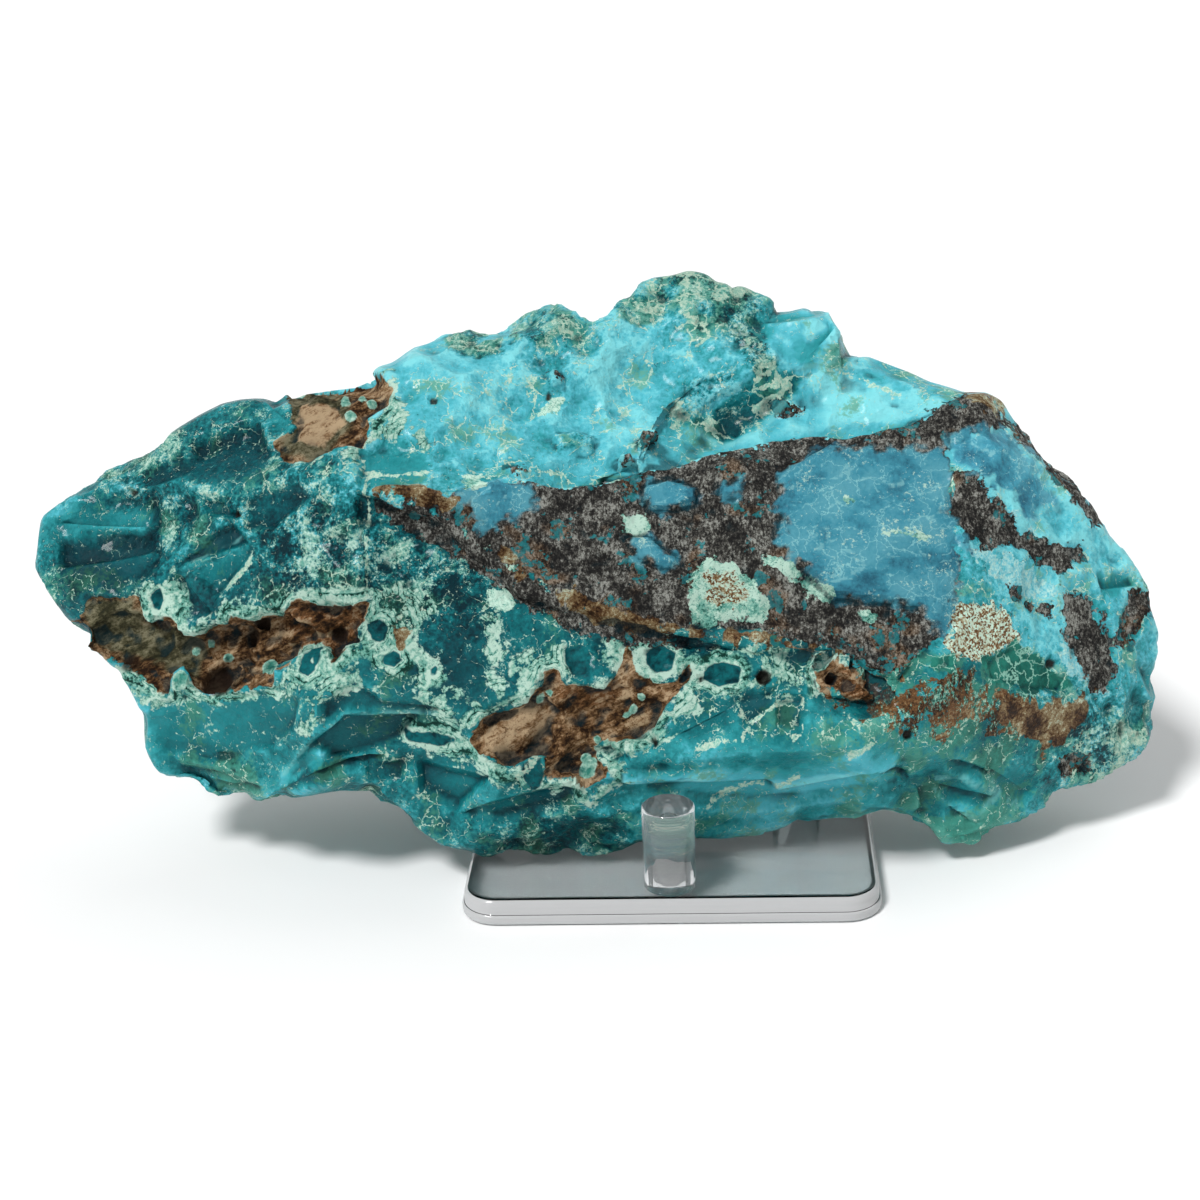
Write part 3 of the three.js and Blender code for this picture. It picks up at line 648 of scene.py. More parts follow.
def shape_stone(points, normals, marks):
    """Moves the even mesh to the broken, crusted and weathered surface."""
    rough = 0.40 + 0.60 * marks["specks"]
    smooth = np.maximum(ramp(marks["glass"], -1, 1), ramp(marks["green_glass"], -1, 1))
    matrix = ramp(marks["matrix"], -0.6, 0.6) * (1 - smooth)
    clay = ramp(marks["clay"], -0.6, 0.6)
    plain = (1 - smooth) * (1 - 0.75 * matrix) * (1 - clay)
    big, big_shade = chips(points, 24, radius=46, step=2.0, tilt=0.20, seed=SEED)
    small, small_shade = chips(points, 10, radius=15, step=0.9, tilt=0.24, seed=SEED + 1)
    tiny, tiny_shade = chips(points, 4.6, radius=6, step=0.35, tilt=0.28, seed=SEED + 2)
    move = -0.7 * small * (plain + 0.2 * matrix)
    move -= 1.0 * tiny * (plain * rough + 0.4 * matrix)

    # Crusts, grainy matrix and lumpy clay
    move += 1.0 * wave(points, 3.4, 3, 5) * (plain * rough**2 + 0.5 * matrix + 0.5 * clay)
    move += 1.3 * wave(points, 8, 3, 9) * (plain * rough**2 + 0.2 * matrix + 1.3 * clay)

    # Rounded rinds where the mint bands meet the clay, glassy cells sunk inside them
    core = np.maximum(marks["clay"], marks["cell"])
    zone = ramp(marks["mint_zone"], -1.2, 0.6)
    hump = np.sqrt(np.clip(1 - ((core + 1.9) / 1.9) ** 2, 0, 1))
    move += 0.8 * zone * hump
    move -= 0.6 * ramp(marks["cell"], -0.3, 0.8)
    move -= 1.0 * ramp(marks["clay"], -0.2, 1.4)
    move += 1.1 * ramp(marks["pale_clay"], -0.4, 2.2)
    move -= 0.8 * big * (0.2 + 0.8 * plain)

    # The lip of the matrix sheet and the pale veins stand a little proud
    lip = np.clip(1 - np.abs(marks["tan"] - 0.5) / 1.6, 0, 1)
    move += 0.35 * lip * ramp(marks["matrix"], -4, -1)
    move += 0.25 * np.clip(1 + (marks["vein_line"] + 0.2) / 0.9, 0, 1)
    move += 0.5 * np.clip(1 + (marks["ridge_line"] + 0.1) / 1.4, 0, 1)
    move += 0.8 * ramp(marks["bead"], -0.5, 0.6)
    move = np.minimum(move, MOST_GROWTH)
    shade = (big_shade + small_shade + tiny_shade) / 3
    return points + normals * move[:, None], shade


def keep_clear(points):
    """Keeps the stone off the plate and the pegs, as the solid is."""
    clear = points.copy()
    half = (BASE_HIGH - BASE_LOW) / 2 + 1
    over_plate = (np.abs(clear[:, :2] - STAND_CENTRE[:2]) < half[:2]).all(1)
    low = BASE_HIGH[2] + PLATE_GAP
    clear[:, 2] = np.where(over_plate & (clear[:, 2] < low), low, clear[:, 2])
    for node in PEGS:
        foot, top = box_of(node)
        axis = (foot + top)[:2] / 2
        away = clear[:, :2] - axis
        reach = np.hypot(*away.T)
        room = (top - foot)[0] / 2 + PEG_GAP
        rise = top[2] + PEG_GAP - clear[:, 2]
        hit = (reach < room) & (rise > 0)
        aside = hit & (room - reach < rise)
        clear[aside, :2] = axis + away[aside] * (room / reach[aside])[:, None]
        clear[hit & ~aside, 2] = top[2] + PEG_GAP
    return clear


def crevices(mesh):
    """How far each point lies below its neighbours and below a wider ring, in millimetres."""
    points = vertex_array(mesh) * 1000
    normals = vertex_array(mesh, "vertex_normals", "vector")
    ends = np.empty(len(mesh.edges) * 2, np.int32)
    mesh.edges.foreach_get("vertices", ends)
    ends = ends.reshape(-1, 2)
    both = np.concatenate((ends, ends[:, ::-1]))
    count = np.bincount(both[:, 0], minlength=len(points))

    def eased(values, times):
        for _ in range(times):
            around = np.bincount(both[:, 0], values[both[:, 1]], len(points)) / count
            values = 0.5 * values + 0.5 * around
        return values

    axes = [eased(points[:, axis], 1) for axis in range(3)]
    near = 2 * ((np.stack(axes, axis=1) - points) * normals).sum(1)
    axes = [eased(axis, HOLLOW_REACH) for axis in axes]
    wide = ((np.stack(axes, axis=1) - points) * normals).sum(1)
    return eased(near, 2), eased(wide, 2)


def give_marks(mesh, marks):
    for name, values in marks.items():
        layer = mesh.attributes.new(name, "FLOAT", "POINT")
        layer.data.foreach_set("value", values.astype(np.float32))


def stone_piece():
    mesh = remeshed("chrysocolla_stone", VOXEL)
    mesh.name = "chrysocolla"
    points = vertex_array(mesh) * 1000
    normals = vertex_array(mesh, "vertex_normals", "vector")
    px, py, depth = picture_place(points)
    rim = RIM_LOW + (RIM_HIGH - RIM_LOW) * (OUTLINE_BOTTOM - py) / (OUTLINE_BOTTOM - OUTLINE_TOP)
    behind = rim - depth + BACK_WANDER * wave(points, 14, 2, 3)
    front = 1 - ramp(behind, BACK_BEGINS, BACK_BEGINS + BACK_BLEND)
    bx = PICTURE_SIZE - px
    wobble = wave(points, 3.2, 4, 11)
    near_facets, far_facets = read_facets(FRONT_FACETS), read_facets(BACK_FACETS)
    near_inside = [inside(px, py, facet[-1]) for facet in near_facets]
    far_inside = [inside(bx, py, facet[-1]) for facet in far_facets]
    near_worn = [inward + FACET_WEAR * wobble for inward in near_inside]
    far_worn = [inward + FACET_WEAR * wobble for inward in far_inside]
    near = face_marks(px, py, FRONT, FRONT_LOOKS, near_facets, near_worn)
    far = face_marks(bx, py, BACK, BACK_LOOKS, far_facets, far_worn)
    marks = {name: front * near[name] + (1 - front) * far[name] for name in near}
    marks["bead"] = front * beads(px, py) + FAR_OUTSIDE * (1 - front)
    sunk = front * holes(px, py)
    moved, shade = shape_stone(points, normals, marks)
    cuts = (
        cut_facets(points, normals, near_facets, near_inside, front, SEED + 3),
        cut_facets(points, normals, far_facets, far_inside, 1 - front, SEED + 4),
    )
    for share, way in cuts:
        flattened = points + FACET_RELIEF * (moved - points)
        moved += share[:, None] * (flattened - moved) + way
    moved -= normals * sunk[:, None]
    marks["core"] = np.maximum(marks["clay"], marks["cell"])
    marks["hole"] = sunk
    mesh.vertices.foreach_set("co", (keep_clear(moved) / 1000).astype(np.float32).ravel())
    mesh.update()
    marks["crevice"], marks["hollow"] = crevices(mesh)
    marks["chip"] = shade
    marks["wobble"] = wobble
    marks["broad"] = wave(points, 20, 2, 13)
    marks["patchy"] = wave(warped(points, 6, 3, 15), 5, 4, 19)
    marks["gate"] = wave(points, 9, 3, 21)
    marks["wide_net"] = net(warped(points, 8, 6, 23), 12)
    marks["scratch_net"] = net(warped(points, 20, 6, 31) * (0.35, 1, 1.7), 5.5)
    give_marks(mesh, marks)
    mesh.polygons.foreach_set("use_smooth", np.ones(len(mesh.polygons), bool))
    mesh.set_sharp_from_angle(angle=SHARP_ANGLE)
    mesh.update()
    piece = bpy.data.objects.new("chrysocolla", mesh)
    bpy.context.collection.objects.link(piece)
    mesh.materials.clear()
    mesh.materials.append(stone_material())
    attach(piece, "root")
    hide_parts("chrysocolla_stone")


class Shader:
    """Short names for the nodes of one material."""

    def __init__(self, name):
        self.material = bpy.data.materials.new(name)
        self.material.use_nodes = True
        self.tree = self.material.node_tree
        self.tree.nodes.clear()

    def node(self, kind, inputs=None, **settings):
        made = self.tree.nodes.new("ShaderNode" + kind)
        for key, value in settings.items():
            setattr(made, key, value)
        for key, value in (inputs or {}).items():
            socket = made.inputs[key]
            if isinstance(value, bpy.types.NodeSocket):
                self.tree.links.new(value, socket)
            else:
                socket.default_value = value
        return made

    def math(self, operation, *values, clamp=False):
        inputs = dict(enumerate(values))
        return self.node("Math", inputs, operation=operation, use_clamp=clamp).outputs[0]

    def vector(self, operation, *values):
        return self.node("VectorMath", dict(enumerate(values)), operation=operation).outputs[0]

    def add(self, a, b):
        return self.math("ADD", a, b)

    def less(self, a, b, clamp=False):
        return self.math("SUBTRACT", a, b, clamp=clamp)

    def times(self, a, b):
        return self.math("MULTIPLY", a, b)

    def most(self, a, b, clamp=False):
        return self.math("MAXIMUM", a, b, clamp=clamp)

    def scaled(self, value, factor, offset=0.0):
        return self.math("MULTIPLY_ADD", value, factor, offset)

    def step(self, value, low, high):
        """Rises smoothly from 0 at low to 1 at high, or falls where low is the larger."""
        inputs = {"Value": value, "From Min": low, "From Max": high}
        return self.node("MapRange", inputs, interpolation_type="SMOOTHSTEP").outputs[0]

    def thread(self, value, middle, outer, inner):
        """Thin lines where a value passes its middle."""
        return self.step(self.math("ABSOLUTE", self.scaled(value, 1.0, -middle)), outer, inner)

    def mark(self, name):
        return self.node("Attribute", attribute_name=name).outputs["Fac"]

    def mix(self, factor, a, b):
        made = self.node("Mix", data_type="RGBA")
        for key, value in ((0, factor), (6, a), (7, b)):
            if isinstance(value, bpy.types.NodeSocket):
                self.tree.links.new(value, made.inputs[key])
            else:
                made.inputs[key].default_value = (*value, 1) if key else value
        return made.outputs[2]

    def noise(self, where, scale, detail, roughness=0.55, distortion=0.0):
        inputs = {"Vector": where, "Scale": scale, "Detail": detail,
                  "Roughness": roughness, "Distortion": distortion}
        return self.node("TexNoise", inputs).outputs

    def cells(self, where, scale, feature="DISTANCE_TO_EDGE"):
        inputs = {"Vector": where, "Scale": scale}
        return self.node("TexVoronoi", inputs, feature=feature).outputs

    def stops(self, value, *stops):
        """A row of colours, each at its own place along the value."""
        made = self.node("ValToRGB", {"Fac": value})
        elements = made.color_ramp.elements
        for element, (position, colour) in zip(elements, (stops[0], stops[-1])):
            element.position, element.color = position, (*colour, 1)
        for position, colour in stops[1:-1]:
            elements.new(position).color = (*colour, 1)
        return made.outputs[0]

    def millimetres(self, stretch=(1, 1, 1)):
        here = self.node("TexCoord").outputs["Object"]
        return self.vector("MULTIPLY", here, tuple(1000 * part for part in stretch))


# Colours, as linear light
ABYSS = (0.001, 0.026, 0.036)
DEEP = (0.001, 0.074, 0.090)
TEAL = (0.005, 0.168, 0.185)
MID = (0.026, 0.315, 0.345)
TURQUOISE = (0.085, 0.485, 0.575)
BRIGHT = (0.210, 0.680, 0.730)
GREEN_DARK = (0.004, 0.040, 0.030)
GREEN = (0.022, 0.130, 0.095)
GREEN_MID = (0.045, 0.265, 0.210)
GREEN_PALE = (0.150, 0.450, 0.365)
MINT = (0.270, 0.560, 0.450)
MINT_PALE = (0.590, 0.830, 0.700)
CREAM = (0.620, 0.760, 0.600)
BLACK = (0.012, 0.012, 0.012)
MATRIX_DARK = (0.036, 0.035, 0.032)
MATRIX_GREY = (0.105, 0.102, 0.090)
MATRIX_FLECK = (0.370, 0.380, 0.345)
BLUE_DEEP = (0.020, 0.130, 0.200)
BLUE = (0.055, 0.310, 0.420)
BLUE_PALE = (0.110, 0.400, 0.500)
CLAY_DARK = (0.020, 0.009, 0.004)
CLAY_BROWN = (0.115, 0.058, 0.023)
CLAY_TAN = (0.300, 0.175, 0.085)
CLAY_PALE = (0.560, 0.410, 0.250)
CLAY_ORANGE = (0.270, 0.122, 0.048)
OLIVE_DARK = (0.030, 0.030, 0.014)
OLIVE = (0.105, 0.098, 0.052)
OLIVE_PALE = (0.260, 0.240, 0.150)
RUST_BROWN = (0.150, 0.065, 0.022)
GOLD_TAN = (0.330, 0.250, 0.130)
SKY = (0.270, 0.620, 0.660)
BOTTLE_DARK = (0.004, 0.075, 0.060)
BOTTLE = (0.018, 0.200, 0.150)


def silicate(s, fine, grain, vein_net):
    """Colour of the copper silicate with its specks and net of veins, painted lighter on ridges and
    bumps and darker in dips.
    """
    specks, patchy, gate = s.mark("specks"), s.mark("patchy"), s.mark("gate")
    contrast = s.add(s.times(specks, s.scaled(specks, 0.60, 0.42)), 0.01)
    stir = s.add(s.times(patchy, 0.50), s.scaled(fine, 3.4, -1.70))
    stir = s.add(stir, s.scaled(s.mark("chip"), 0.7, -0.35))
    tone = s.add(s.mark("tone"), s.times(s.mark("broad"), 0.16))
    tone = s.add(tone, s.times(stir, contrast))
    # Painted highlight: the tone is raised along sharp ridges.
    tone = s.add(tone, s.times(s.step(s.mark("crevice"), -0.03, -0.16), 0.14))
    # Painted shade: the tone is lowered in broad dips and raised on broad bumps.
    tone = s.add(tone, s.scaled(s.step(s.mark("hollow"), 0.70, -0.60), 0.18, -0.08))
    blue = s.stops(
        tone, (0.0, ABYSS), (0.24, DEEP), (0.48, TEAL), (0.70, MID), (0.86, TURQUOISE),
        (1.0, BRIGHT),
    )
    leafy = s.stops(tone, (0.0, GREEN_DARK), (0.35, GREEN), (0.65, GREEN_MID), (1.0, GREEN_PALE))
    greenness = s.add(s.scaled(gate, 0.80, 0.02), s.scaled(fine, 1.6, -0.8))
    greenness = s.add(s.mark("green"), greenness)
    colour = s.mix(s.step(greenness, 0.28, 0.66), blue, leafy)

    # Mint specks and crusts of all sizes, and dark flecks
    crust = s.add(s.times(patchy, 0.7), s.scaled(grain, 3.2, -1.6))
    crust = s.add(crust, s.scaled(specks, 0.88, -0.90))
    mint_speck = s.mix(s.step(fine, 0.40, 0.60), GREEN_PALE, MINT_PALE)
    colour = s.mix(s.times(s.step(crust, 0.0, 0.10), 0.9), colour, mint_speck)
    dark = s.less(s.scaled(grain, -2.6, 1.3), s.times(patchy, 0.5))
    dark = s.add(dark, s.scaled(specks, 0.50, -0.66))
    colour = s.mix(s.times(s.step(dark, 0.0, 0.10), 0.85), colour, ABYSS)

    # Cream veins
    width = s.times(s.mark("veins"), s.step(gate, -0.30, 0.40))
    wide_net = s.add(s.mark("wide_net"), s.scaled(fine, 0.8, -0.40))
    wide = s.less(s.scaled(width, 0.55, -0.06), wide_net)
    thin_net = s.add(vein_net, s.scaled(fine, 0.16, -0.08))
    thin = s.less(s.scaled(width, 0.120, -0.012), thin_net)
    veins = s.most(s.step(wide, -0.06, 0.06), s.step(thin, -0.012, 0.012))
    vein_colour = s.mix(s.step(grain, 0.40, 0.60), MINT, CREAM)
    return s.mix(s.times(veins, 0.9), colour, vein_colour)


def stone_material():
    s = Shader("chrysocolla")
    p = s.millimetres()
    fine = s.noise(p, 0.85, 5, 0.62)["Fac"]
    grain = s.noise(p, 1.15, 5, 0.82)["Fac"]
    streak = s.noise(s.millimetres((1.3, 0.6, 0.6)), 0.9, 5, 0.80)["Fac"]
    worm = s.noise(p, 0.42, 3, 0.6, 0.8)["Fac"]
    drift = s.noise(p, 0.16, 4, 0.65)["Color"]
    vein_net = s.cells(s.vector("MULTIPLY_ADD", drift, (9, 9, 9), p), 0.20)["Distance"]
    crystal = s.cells(p, 2.3, "F1")["Color"]
    leaning = s.node("VectorRotate", {"Vector": p, "Angle": 0.5}, rotation_type="Y_AXIS")
    layered = s.vector("MULTIPLY", leaning.outputs[0], (0.25, 0.9, 1.2))
    strata = s.noise(layered, 0.55, 5, 0.72)["Fac"]
    fuzz = s.scaled(fine, 2.4, -1.2)
    wobble, patchy, gate = s.mark("wobble"), s.mark("patchy"), s.mark("gate")
    specks = s.mark("specks")

    def edge(name, ragged, soft, fuzzy, offset=0.0):
        """How far a mark covers each place, with a ragged, soft and fuzzy border."""
        moved = s.add(s.scaled(wobble, ragged, offset), s.times(fuzz, fuzzy))
        return s.step(s.add(s.mark(name), moved), -soft, soft)

    def painted(under, name, border, tone, *stops):
        """A colour with a mark's own row of colours laid over it."""
        return s.mix(edge(name, *border), under, s.stops(tone, *stops))

    colour = silicate(s, fine, grain, vein_net)
    sky_tone = s.add(s.times(crystal, 0.3), s.scaled(fine, 0.9, -0.10))
    colour = painted(
        colour, "sky", (2.4, 0.25, 1.6),
        sky_tone, (0.32, TURQUOISE), (0.50, SKY), (0.80, MINT_PALE),
    )

    # Mint bands round the clay and the glassy cells
    core = s.add(s.mark("core"), s.add(s.times(fuzz, 0.45), s.times(wobble, 1.2)))
    lines = s.step(s.math("SINE", s.times(core, 4.4)), -0.50, -0.92)
    lines = s.times(lines, s.step(gate, -0.30, 0.10))
    worm_line = s.thread(worm, 0.46, 0.016, 0.004)
    bands = s.add(s.scaled(fine, 2.2, -0.60), s.times(patchy, 0.60))
    bands = s.add(bands, s.times(s.step(core, -1.5, -0.3), 0.30))
    bands = s.less(bands, s.times(s.most(lines, worm_line), 0.42))
    rind = s.stops(
        bands, (0.02, GREEN_DARK), (0.16, GREEN), (0.34, GREEN_PALE), (0.52, MINT),
        (0.80, MINT_PALE),
    )
    zone = edge("mint_zone", 2.4, 0.45, 2.4)
    near_core = s.step(core, -3.6, -2.2)
    spread = s.step(s.add(patchy, s.scaled(fine, 1.6, -0.8)), -0.14, -0.02)
    cover = s.times(zone, s.most(near_core, spread))
    colour = s.mix(cover, colour, rind)
    cell_tone = s.add(fine, s.times(patchy, 0.3))
    colour = painted(colour, "cell", (0.5, 0.2, 0.3), cell_tone, (0.3, ABYSS), (0.75, TEAL))

    # Black matrix with paler grains, also laid as painted shadow in the strip under the sheet's
    # lip, and the blue glass over it
    soot = s.add(s.scaled(streak, 0.85, 0.018), s.times(patchy, 0.13))
    soot = s.add(soot, s.add(s.scaled(grain, 0.65, -0.325), s.scaled(crystal, 0.14)))
    black = s.stops(
        soot, (0.38, BLACK), (0.48, MATRIX_DARK), (0.56, MATRIX_GREY), (0.66, MATRIX_FLECK),
    )
    brown_stain = s.times(s.step(gate, 0.20, 0.60), 0.5)
    black = s.mix(brown_stain, black, s.stops(soot, (0.40, CLAY_DARK), (0.62, CLAY_TAN)))
    teal_stain = s.step(s.add(wobble, s.add(gate, s.times(fuzz, 0.9))), 0.60, 0.80)
    black = s.mix(s.times(teal_stain, 0.8), black, s.stops(fine, (0.3, DEEP), (0.7, MID)))
    matrix = edge("matrix", 2.2, 0.15, 2.0)
    colour = s.mix(matrix, colour, black)
    haze = s.add(s.scaled(gate, 0.65, 0.54), s.scaled(fine, 1.0, -0.5))
    blue = s.stops(haze, (0.05, BLUE_DEEP), (0.48, BLUE), (0.90, BLUE_PALE))
    crack = s.step(vein_net, 0.035, 0.005)
    blue = s.mix(s.times(crack, s.step(haze, 0.40, 0.70)), blue, SKY)
    scratch = s.step(s.add(s.mark("scratch_net"), s.times(fuzz, 0.25)), 0.14, 0.02)
    blue = s.mix(s.times(scratch, 0.6), blue, SKY)
    blue = s.mix(s.times(s.thread(streak, 0.5, 0.010, 0.0), 0.45), blue, BLUE_PALE)
    white_speck = s.step(s.add(grain, s.times(patchy, 0.16)), 0.63, 0.68)
    blue = s.mix(s.times(white_speck, 0.8), blue, MINT_PALE)
    glass = edge("glass", 3.2, 1.1, 0.9)
    colour = s.mix(glass, colour, blue)

    # Rusty ground, mint and grit patches, tan lips and green glass
    rust_tone = s.add(s.scaled(grain, 1.2, -0.1), s.times(gate, 0.25))
    rust = s.stops(
        rust_tone, (0.38, CLAY_DARK), (0.48, CLAY_BROWN), (0.58, RUST_BROWN), (0.74, GOLD_TAN),
    )
    moss = s.stops(grain, (0.36, GREEN_DARK), (0.46, GREEN), (0.54, GREEN_PALE), (0.64, CREAM))
    rust = s.mix(s.step(s.add(streak, s.times(patchy, 0.12)), 0.53, 0.57), rust, moss)
    colour = s.mix(edge("rust", 7.0, 0.3, 4.5, -1.1), colour, rust)
    dust = s.add(grain, s.times(patchy, 0.22))
    mint_tone = s.less(s.add(dust, s.times(wobble, 0.10)), s.times(worm_line, 0.2))
    colour = painted(
        colour, "mint", (1.6, 0.15, 1.8),
        mint_tone, (0.28, GREEN), (0.38, GREEN_PALE), (0.46, MINT), (0.56, MINT_PALE),
    )
    colour = painted(
        colour, "grit", (2.4, 0.2, 2.4), s.add(s.times(crystal, 0.5), s.times(grain, 0.5)),
        (0.30, CLAY_BROWN), (0.38, RUST_BROWN), (0.46, GOLD_TAN), (0.55, CREAM),
        (0.68, MINT_PALE),
    )
    colour = painted(
        colour, "tan", (2.6, 0.3, 1.4),
        dust, (0.34, CLAY_DARK), (0.46, CLAY_BROWN), (0.60, GOLD_TAN), (0.74, CREAM),
    )
    bottle = s.stops(haze, (0.25, BOTTLE_DARK), (0.75, BOTTLE))
    bottle = s.mix(s.step(vein_net, 0.05, 0.02), bottle, MINT)
    colour = s.mix(edge("green_glass", 2.6, 0.3, 1.6), colour, bottle)

    # Clay in the hollows, and the mint beads on it
    flow = s.add(s.times(patchy, 0.45), s.scaled(fine, 1.3, -0.15))
    flow = s.add(flow, s.scaled(strata, 1.9, -0.88))
    cracks = s.thread(strata, 0.47, 0.012, 0.002)
    flow = s.less(flow, s.times(s.most(cracks, worm_line), 0.35))
    clay_colour = s.stops(
        flow, (0.20, CLAY_DARK), (0.42, CLAY_BROWN), (0.66, CLAY_TAN), (0.92, CLAY_PALE),
    )
    clay_colour = painted(
        clay_colour, "olive", (1.5, 1.2, 0.5),
        flow, (0.20, OLIVE_DARK), (0.50, OLIVE), (0.85, OLIVE_PALE),
    )
    clay_colour = painted(
        clay_colour, "orange", (1.5, 1.0, 0.5),
        flow, (0.15, CLAY_DARK), (0.40, CLAY_BROWN), (0.62, CLAY_ORANGE), (0.92, CLAY_PALE),
    )
    clay_colour = painted(
        clay_colour, "pale_clay", (0.8, 0.4, 0.4),
        flow, (0.05, CLAY_BROWN), (0.26, CLAY_TAN), (0.56, CLAY_PALE),
    )
    clay = edge("clay", 0.9, 0.15, 0.5)
    colour = s.mix(clay, colour, clay_colour)
    bead_tone = s.add(fine, s.times(s.mark("bead"), -0.2))
    colour = painted(
        colour, "bead", (0.3, 0.12, 0.2),
        bead_tone, (0.25, GREEN_MID), (0.45, MINT), (0.6, MINT_PALE),
    )

    # The placed veins, painted highlights on the placed ridges, and painted shade in holes and
    # crevices
    vein = s.add(s.mark("vein_line"), s.add(s.scaled(wobble, 0.6, 0.42), fuzz))
    vein_colour = s.mix(s.step(grain, 0.42, 0.55), MINT, CREAM)
    colour = s.mix(s.times(s.step(vein, -0.10, 0.10), 0.85), colour, vein_colour)
    # Painted highlight: pale lines along the ridge lines.
    ridge_highlight = s.step(s.add(s.mark("ridge_line"), s.times(wobble, 0.6)), -0.7, 0.1)
    colour = s.mix(s.times(ridge_highlight, 0.5), colour, s.mix(0.5, TURQUOISE, MINT))
    # Painted shade: crevices are darkened towards the deepest teal.
    colour = s.mix(s.times(s.step(s.mark("crevice"), 0.04, 0.15), 0.7), colour, ABYSS)
    # Painted shade: holes are darkened, more the deeper they go.
    colour = s.mix(s.times(s.step(s.mark("hole"), 0.4, 1.2), 0.85), colour, CLAY_DARK)

    # Gloss and fine relief
    dull = s.most(s.most(matrix, clay), s.times(cover, 0.8), clamp=True)
    bare = s.less(1.0, dull, clamp=True)
    shine = s.most(bare, glass)
    roughness = s.add(s.scaled(shine, -0.36, 0.74), s.scaled(fine, 0.30, -0.15))
    height = s.times(fine, s.scaled(specks, 0.50, 0.15))
    grainy = s.add(s.scaled(dull, 0.30, 0.04), s.times(specks, 0.25))
    height = s.add(height, s.times(grain, grainy))
    bites = s.times(s.cells(p, 0.24, "F1")["Distance"], bare)
    height = s.add(height, s.scaled(bites, 0.60))
    bump = s.node("Bump", {"Height": height, "Strength": 1.0, "Distance": 0.0020})
    surface = s.node("BsdfPrincipled", {
        "Base Color": colour, "Roughness": roughness, "Normal": bump.outputs[0],
        "IOR": 1.50, "Specular IOR Level": 0.10, "Coat Weight": s.times(shine, 0.10),
        "Coat Roughness": 0.12,
    })
    s.node("OutputMaterial", {"Surface": surface.outputs[0]})
    return s.material


def acrylic_material(name, transmission, roughness, density):
    s = Shader(name)
    p = s.millimetres()
    ripple = s.noise(p, 0.05, 1)["Fac"]
    bump = s.node("Bump", {"Height": ripple, "Strength": 0.25, "Distance": 0.0005})
    surface = s.node("BsdfPrincipled", {
        "Base Color": (0.96, 0.97, 0.98, 1), "Roughness": roughness, "IOR": 1.49,
        "Transmission Weight": transmission, "Normal": bump.outputs[0],
    })
    absorb = s.node("VolumeAbsorption", {"Color": (0.60, 0.69, 0.68, 1), "Density": density})
    s.node("OutputMaterial", {"Surface": surface.outputs[0], "Volume": absorb.outputs[0]})
    return s.material


def ring_places(reach, z, sides):
    turns = [2 * math.pi * i / sides for i in range(sides)]
    return [(reach * math.cos(a), reach * math.sin(a), z) for a in turns]


def rounded_ring(half_width, half_depth, radius, z):
    ring = []
    for quarter, (sx, sy) in enumerate(((1, -1), (1, 1), (-1, 1), (-1, -1))):
        start = -math.pi / 2 + quarter * math.pi / 2
        for i in range(CORNER_STEPS + 1):
            angle = start + math.pi / 2 * i / CORNER_STEPS
            x = sx * (half_width - radius) + radius * math.cos(angle)
            y = sy * (half_depth - radius) + radius * math.sin(angle)
            ring.append(Vector((x, y, z)))
    return ring


def loft(name, rings, centre):
    """A closed mesh through rings of equal length, with flat ends."""
    mesh = bmesh.new()
    loops = [[mesh.verts.new((v + centre) / 1000) for v in ring] for ring in rings]
    for low, high in zip(loops, loops[1:]):
        for i in range(len(low)):
            j = (i + 1) % len(low)
            mesh.faces.new((low[i], low[j], high[j], high[i]))
    mesh.faces.new(list(reversed(loops[0])))
    mesh.faces.new(loops[-1])
    data = bpy.data.meshes.new(name)
    mesh.to_mesh(data)
    mesh.free()
    piece = bpy.data.objects.new(name, data)
    bpy.context.collection.objects.link(piece)
    data.polygons.foreach_set("use_smooth", [len(p.vertices) < 6 for p in data.polygons])
    return piece


def bevel_steps(radius, steps):
    """Inset and rise of a quarter round, from its wall to its flat."""
    angles = [math.pi / 2 * i / steps for i in range(steps + 1)]
    return [(radius * (1 - math.cos(a)), radius * math.sin(a)) for a in angles]


def finish(piece, materials, node):
    for material in materials:
        piece.data.materials.append(material)
    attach(piece, "root")
    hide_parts(node)


def plate_piece(clear, scuffed):
    half = (BASE_HIGH - BASE_LOW) / 2
    thickness = BASE_HIGH[2] - BASE_LOW[2]
    profile = [(inset, FOOT_BEVEL - rise) for inset, rise in reversed(bevel_steps(FOOT_BEVEL, 4))]
    waist = FOOT_HEIGHT - FOOT_BEVEL
    profile += [(inset, waist + rise) for inset, rise in bevel_steps(FOOT_BEVEL, 4)][:-1]
    top_start = thickness - TOP_BEVEL
    profile += [(STEP_INSET, FOOT_HEIGHT)]
    profile += [(STEP_INSET + inset, top_start + rise) for inset, rise in bevel_steps(TOP_BEVEL, 6)]
    rings = [
        rounded_ring(half[0] - inset, half[1] - inset, BASE_CORNER - inset, z)
        for inset, z in profile
    ]
    plate = loft("clear_plate", rings, Vector(STAND_CENTRE))
    finish(plate, (clear, scuffed), "stand_base")
    for face in plate.data.polygons:
        face.material_index = int(abs(face.normal.z) < LEVEL)


def peg_piece(node, clear):
    low, high = box_of(node)
    radius = (high[0] - low[0]) / 2
    height = high[2] - low[2]
    centre = Vector(((low[0] + high[0]) / 2, (low[1] + high[1]) / 2, low[2]))
    profile = [(PEG_FOOT, GLUE_GAP), (0.0, GLUE_GAP + PEG_FOOT)]
    top = bevel_steps(PEG_CHAMFER, 4)
    profile += [(inset, height - PEG_CHAMFER + rise) for inset, rise in top]
    rings = [[Vector(place) for place in ring_places(radius - inset, z, PEG_SIDES)]
             for inset, z in profile]
    finish(loft("clear_" + node, rings, centre), (clear,), node)


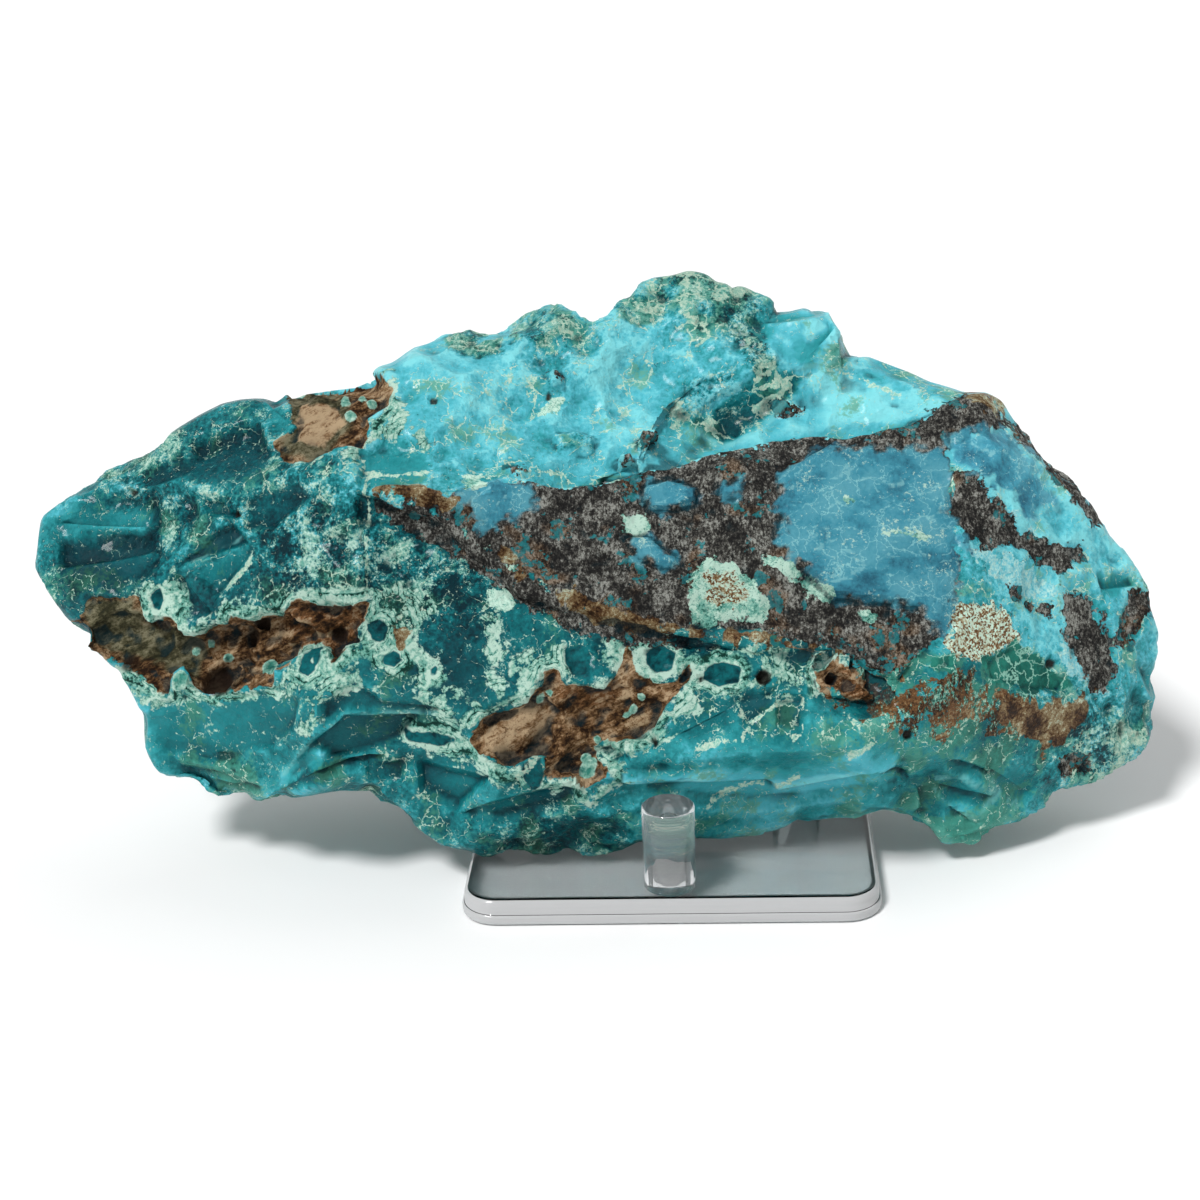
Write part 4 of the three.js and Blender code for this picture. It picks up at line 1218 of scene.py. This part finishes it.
def stage():
    """A pale floor, flat round the stand and sweeping up far away to hide its edge."""
    sweep = bmesh.new()
    rings = []
    for reach in (FLOOR_FLAT, *np.linspace(FLOOR_FLAT * 1.2, FLOOR_REACH, FLOOR_RINGS)):
        lift = FLOOR_LIFT * ((reach - FLOOR_FLAT) / (FLOOR_REACH - FLOOR_FLAT)) ** 2
        ring = ring_places(reach, lift - FLOOR_SINK, FLOOR_SIDES)
        rings.append([sweep.verts.new(place) for place in ring])
    sweep.faces.new(rings[0])
    for near, far in zip(rings, rings[1:]):
        for i in range(FLOOR_SIDES):
            sweep.faces.new((near[i - 1], far[i - 1], far[i], near[i])).smooth = True
    data = bpy.data.meshes.new("floor")
    sweep.to_mesh(data)
    sweep.free()
    floor = bpy.data.objects.new("floor", data)
    bpy.context.collection.objects.link(floor)
    material = bpy.data.materials.new("pale_floor")
    material.use_nodes = True
    shader = material.node_tree.nodes["Principled BSDF"]
    shader.inputs["Base Color"].default_value = (0.93, 0.93, 0.93, 1)
    shader.inputs["Roughness"].default_value = 0.7
    floor.data.materials.append(material)


def soft_sun(name, place, strength, width):
    """Even light from the direction of a place, as a large softbox far away gives."""
    lamp = bpy.data.lights.new(name, "SUN")
    lamp.energy = strength
    lamp.angle = width
    light = bpy.data.objects.new(name, lamp)
    light.rotation_euler = Vector(place).to_track_quat("Z", "Y").to_euler()
    bpy.context.collection.objects.link(light)


def lights():
    soft_sun("key", (-0.45, -0.50, 1.0), strength=2.6, width=math.radians(14))
    soft_sun("back", (0.5, 0.6, 1.0), strength=0.6, width=math.radians(40))
    world = bpy.data.worlds.new("studio")
    bpy.context.scene.world = world
    world.use_nodes = True
    background = world.node_tree.nodes["Background"]
    background.inputs["Color"].default_value = (1.0, 1.0, 1.0, 1)
    background.inputs["Strength"].default_value = 0.36
    bpy.context.scene.view_settings.view_transform = "Standard"


def camera():
    data = bpy.data.cameras.new("photo_camera")
    data.sensor_width = SENSOR
    data.sensor_fit = "HORIZONTAL"
    data.lens = SENSOR * PICTURE_FOCAL / PICTURE_SIZE
    data.clip_start = 0.01
    data.clip_end = 100
    eye = bpy.data.objects.new("photo_camera", data)
    bpy.context.collection.objects.link(eye)
    turn = Matrix((Vector(RIGHT), Vector(UP), Vector(-FORWARD))).transposed()
    eye.matrix_world = Matrix.Translation(Vector(CAMERA / 1000)) @ turn.to_4x4()
    bpy.context.scene.camera = eye


camera()
stage()
lights()
plate_acrylic = acrylic_material("clear_acrylic", 1.0, roughness=0.02, density=40.0)
edge_acrylic = acrylic_material("scuffed_acrylic", 0.50, roughness=0.08, density=34.0)
plate_piece(plate_acrylic, edge_acrylic)
peg_acrylic = acrylic_material("peg_acrylic", 0.93, roughness=0.02, density=12.0)
for peg_node in PEGS:
    peg_piece(peg_node, peg_acrylic)
stone_piece()
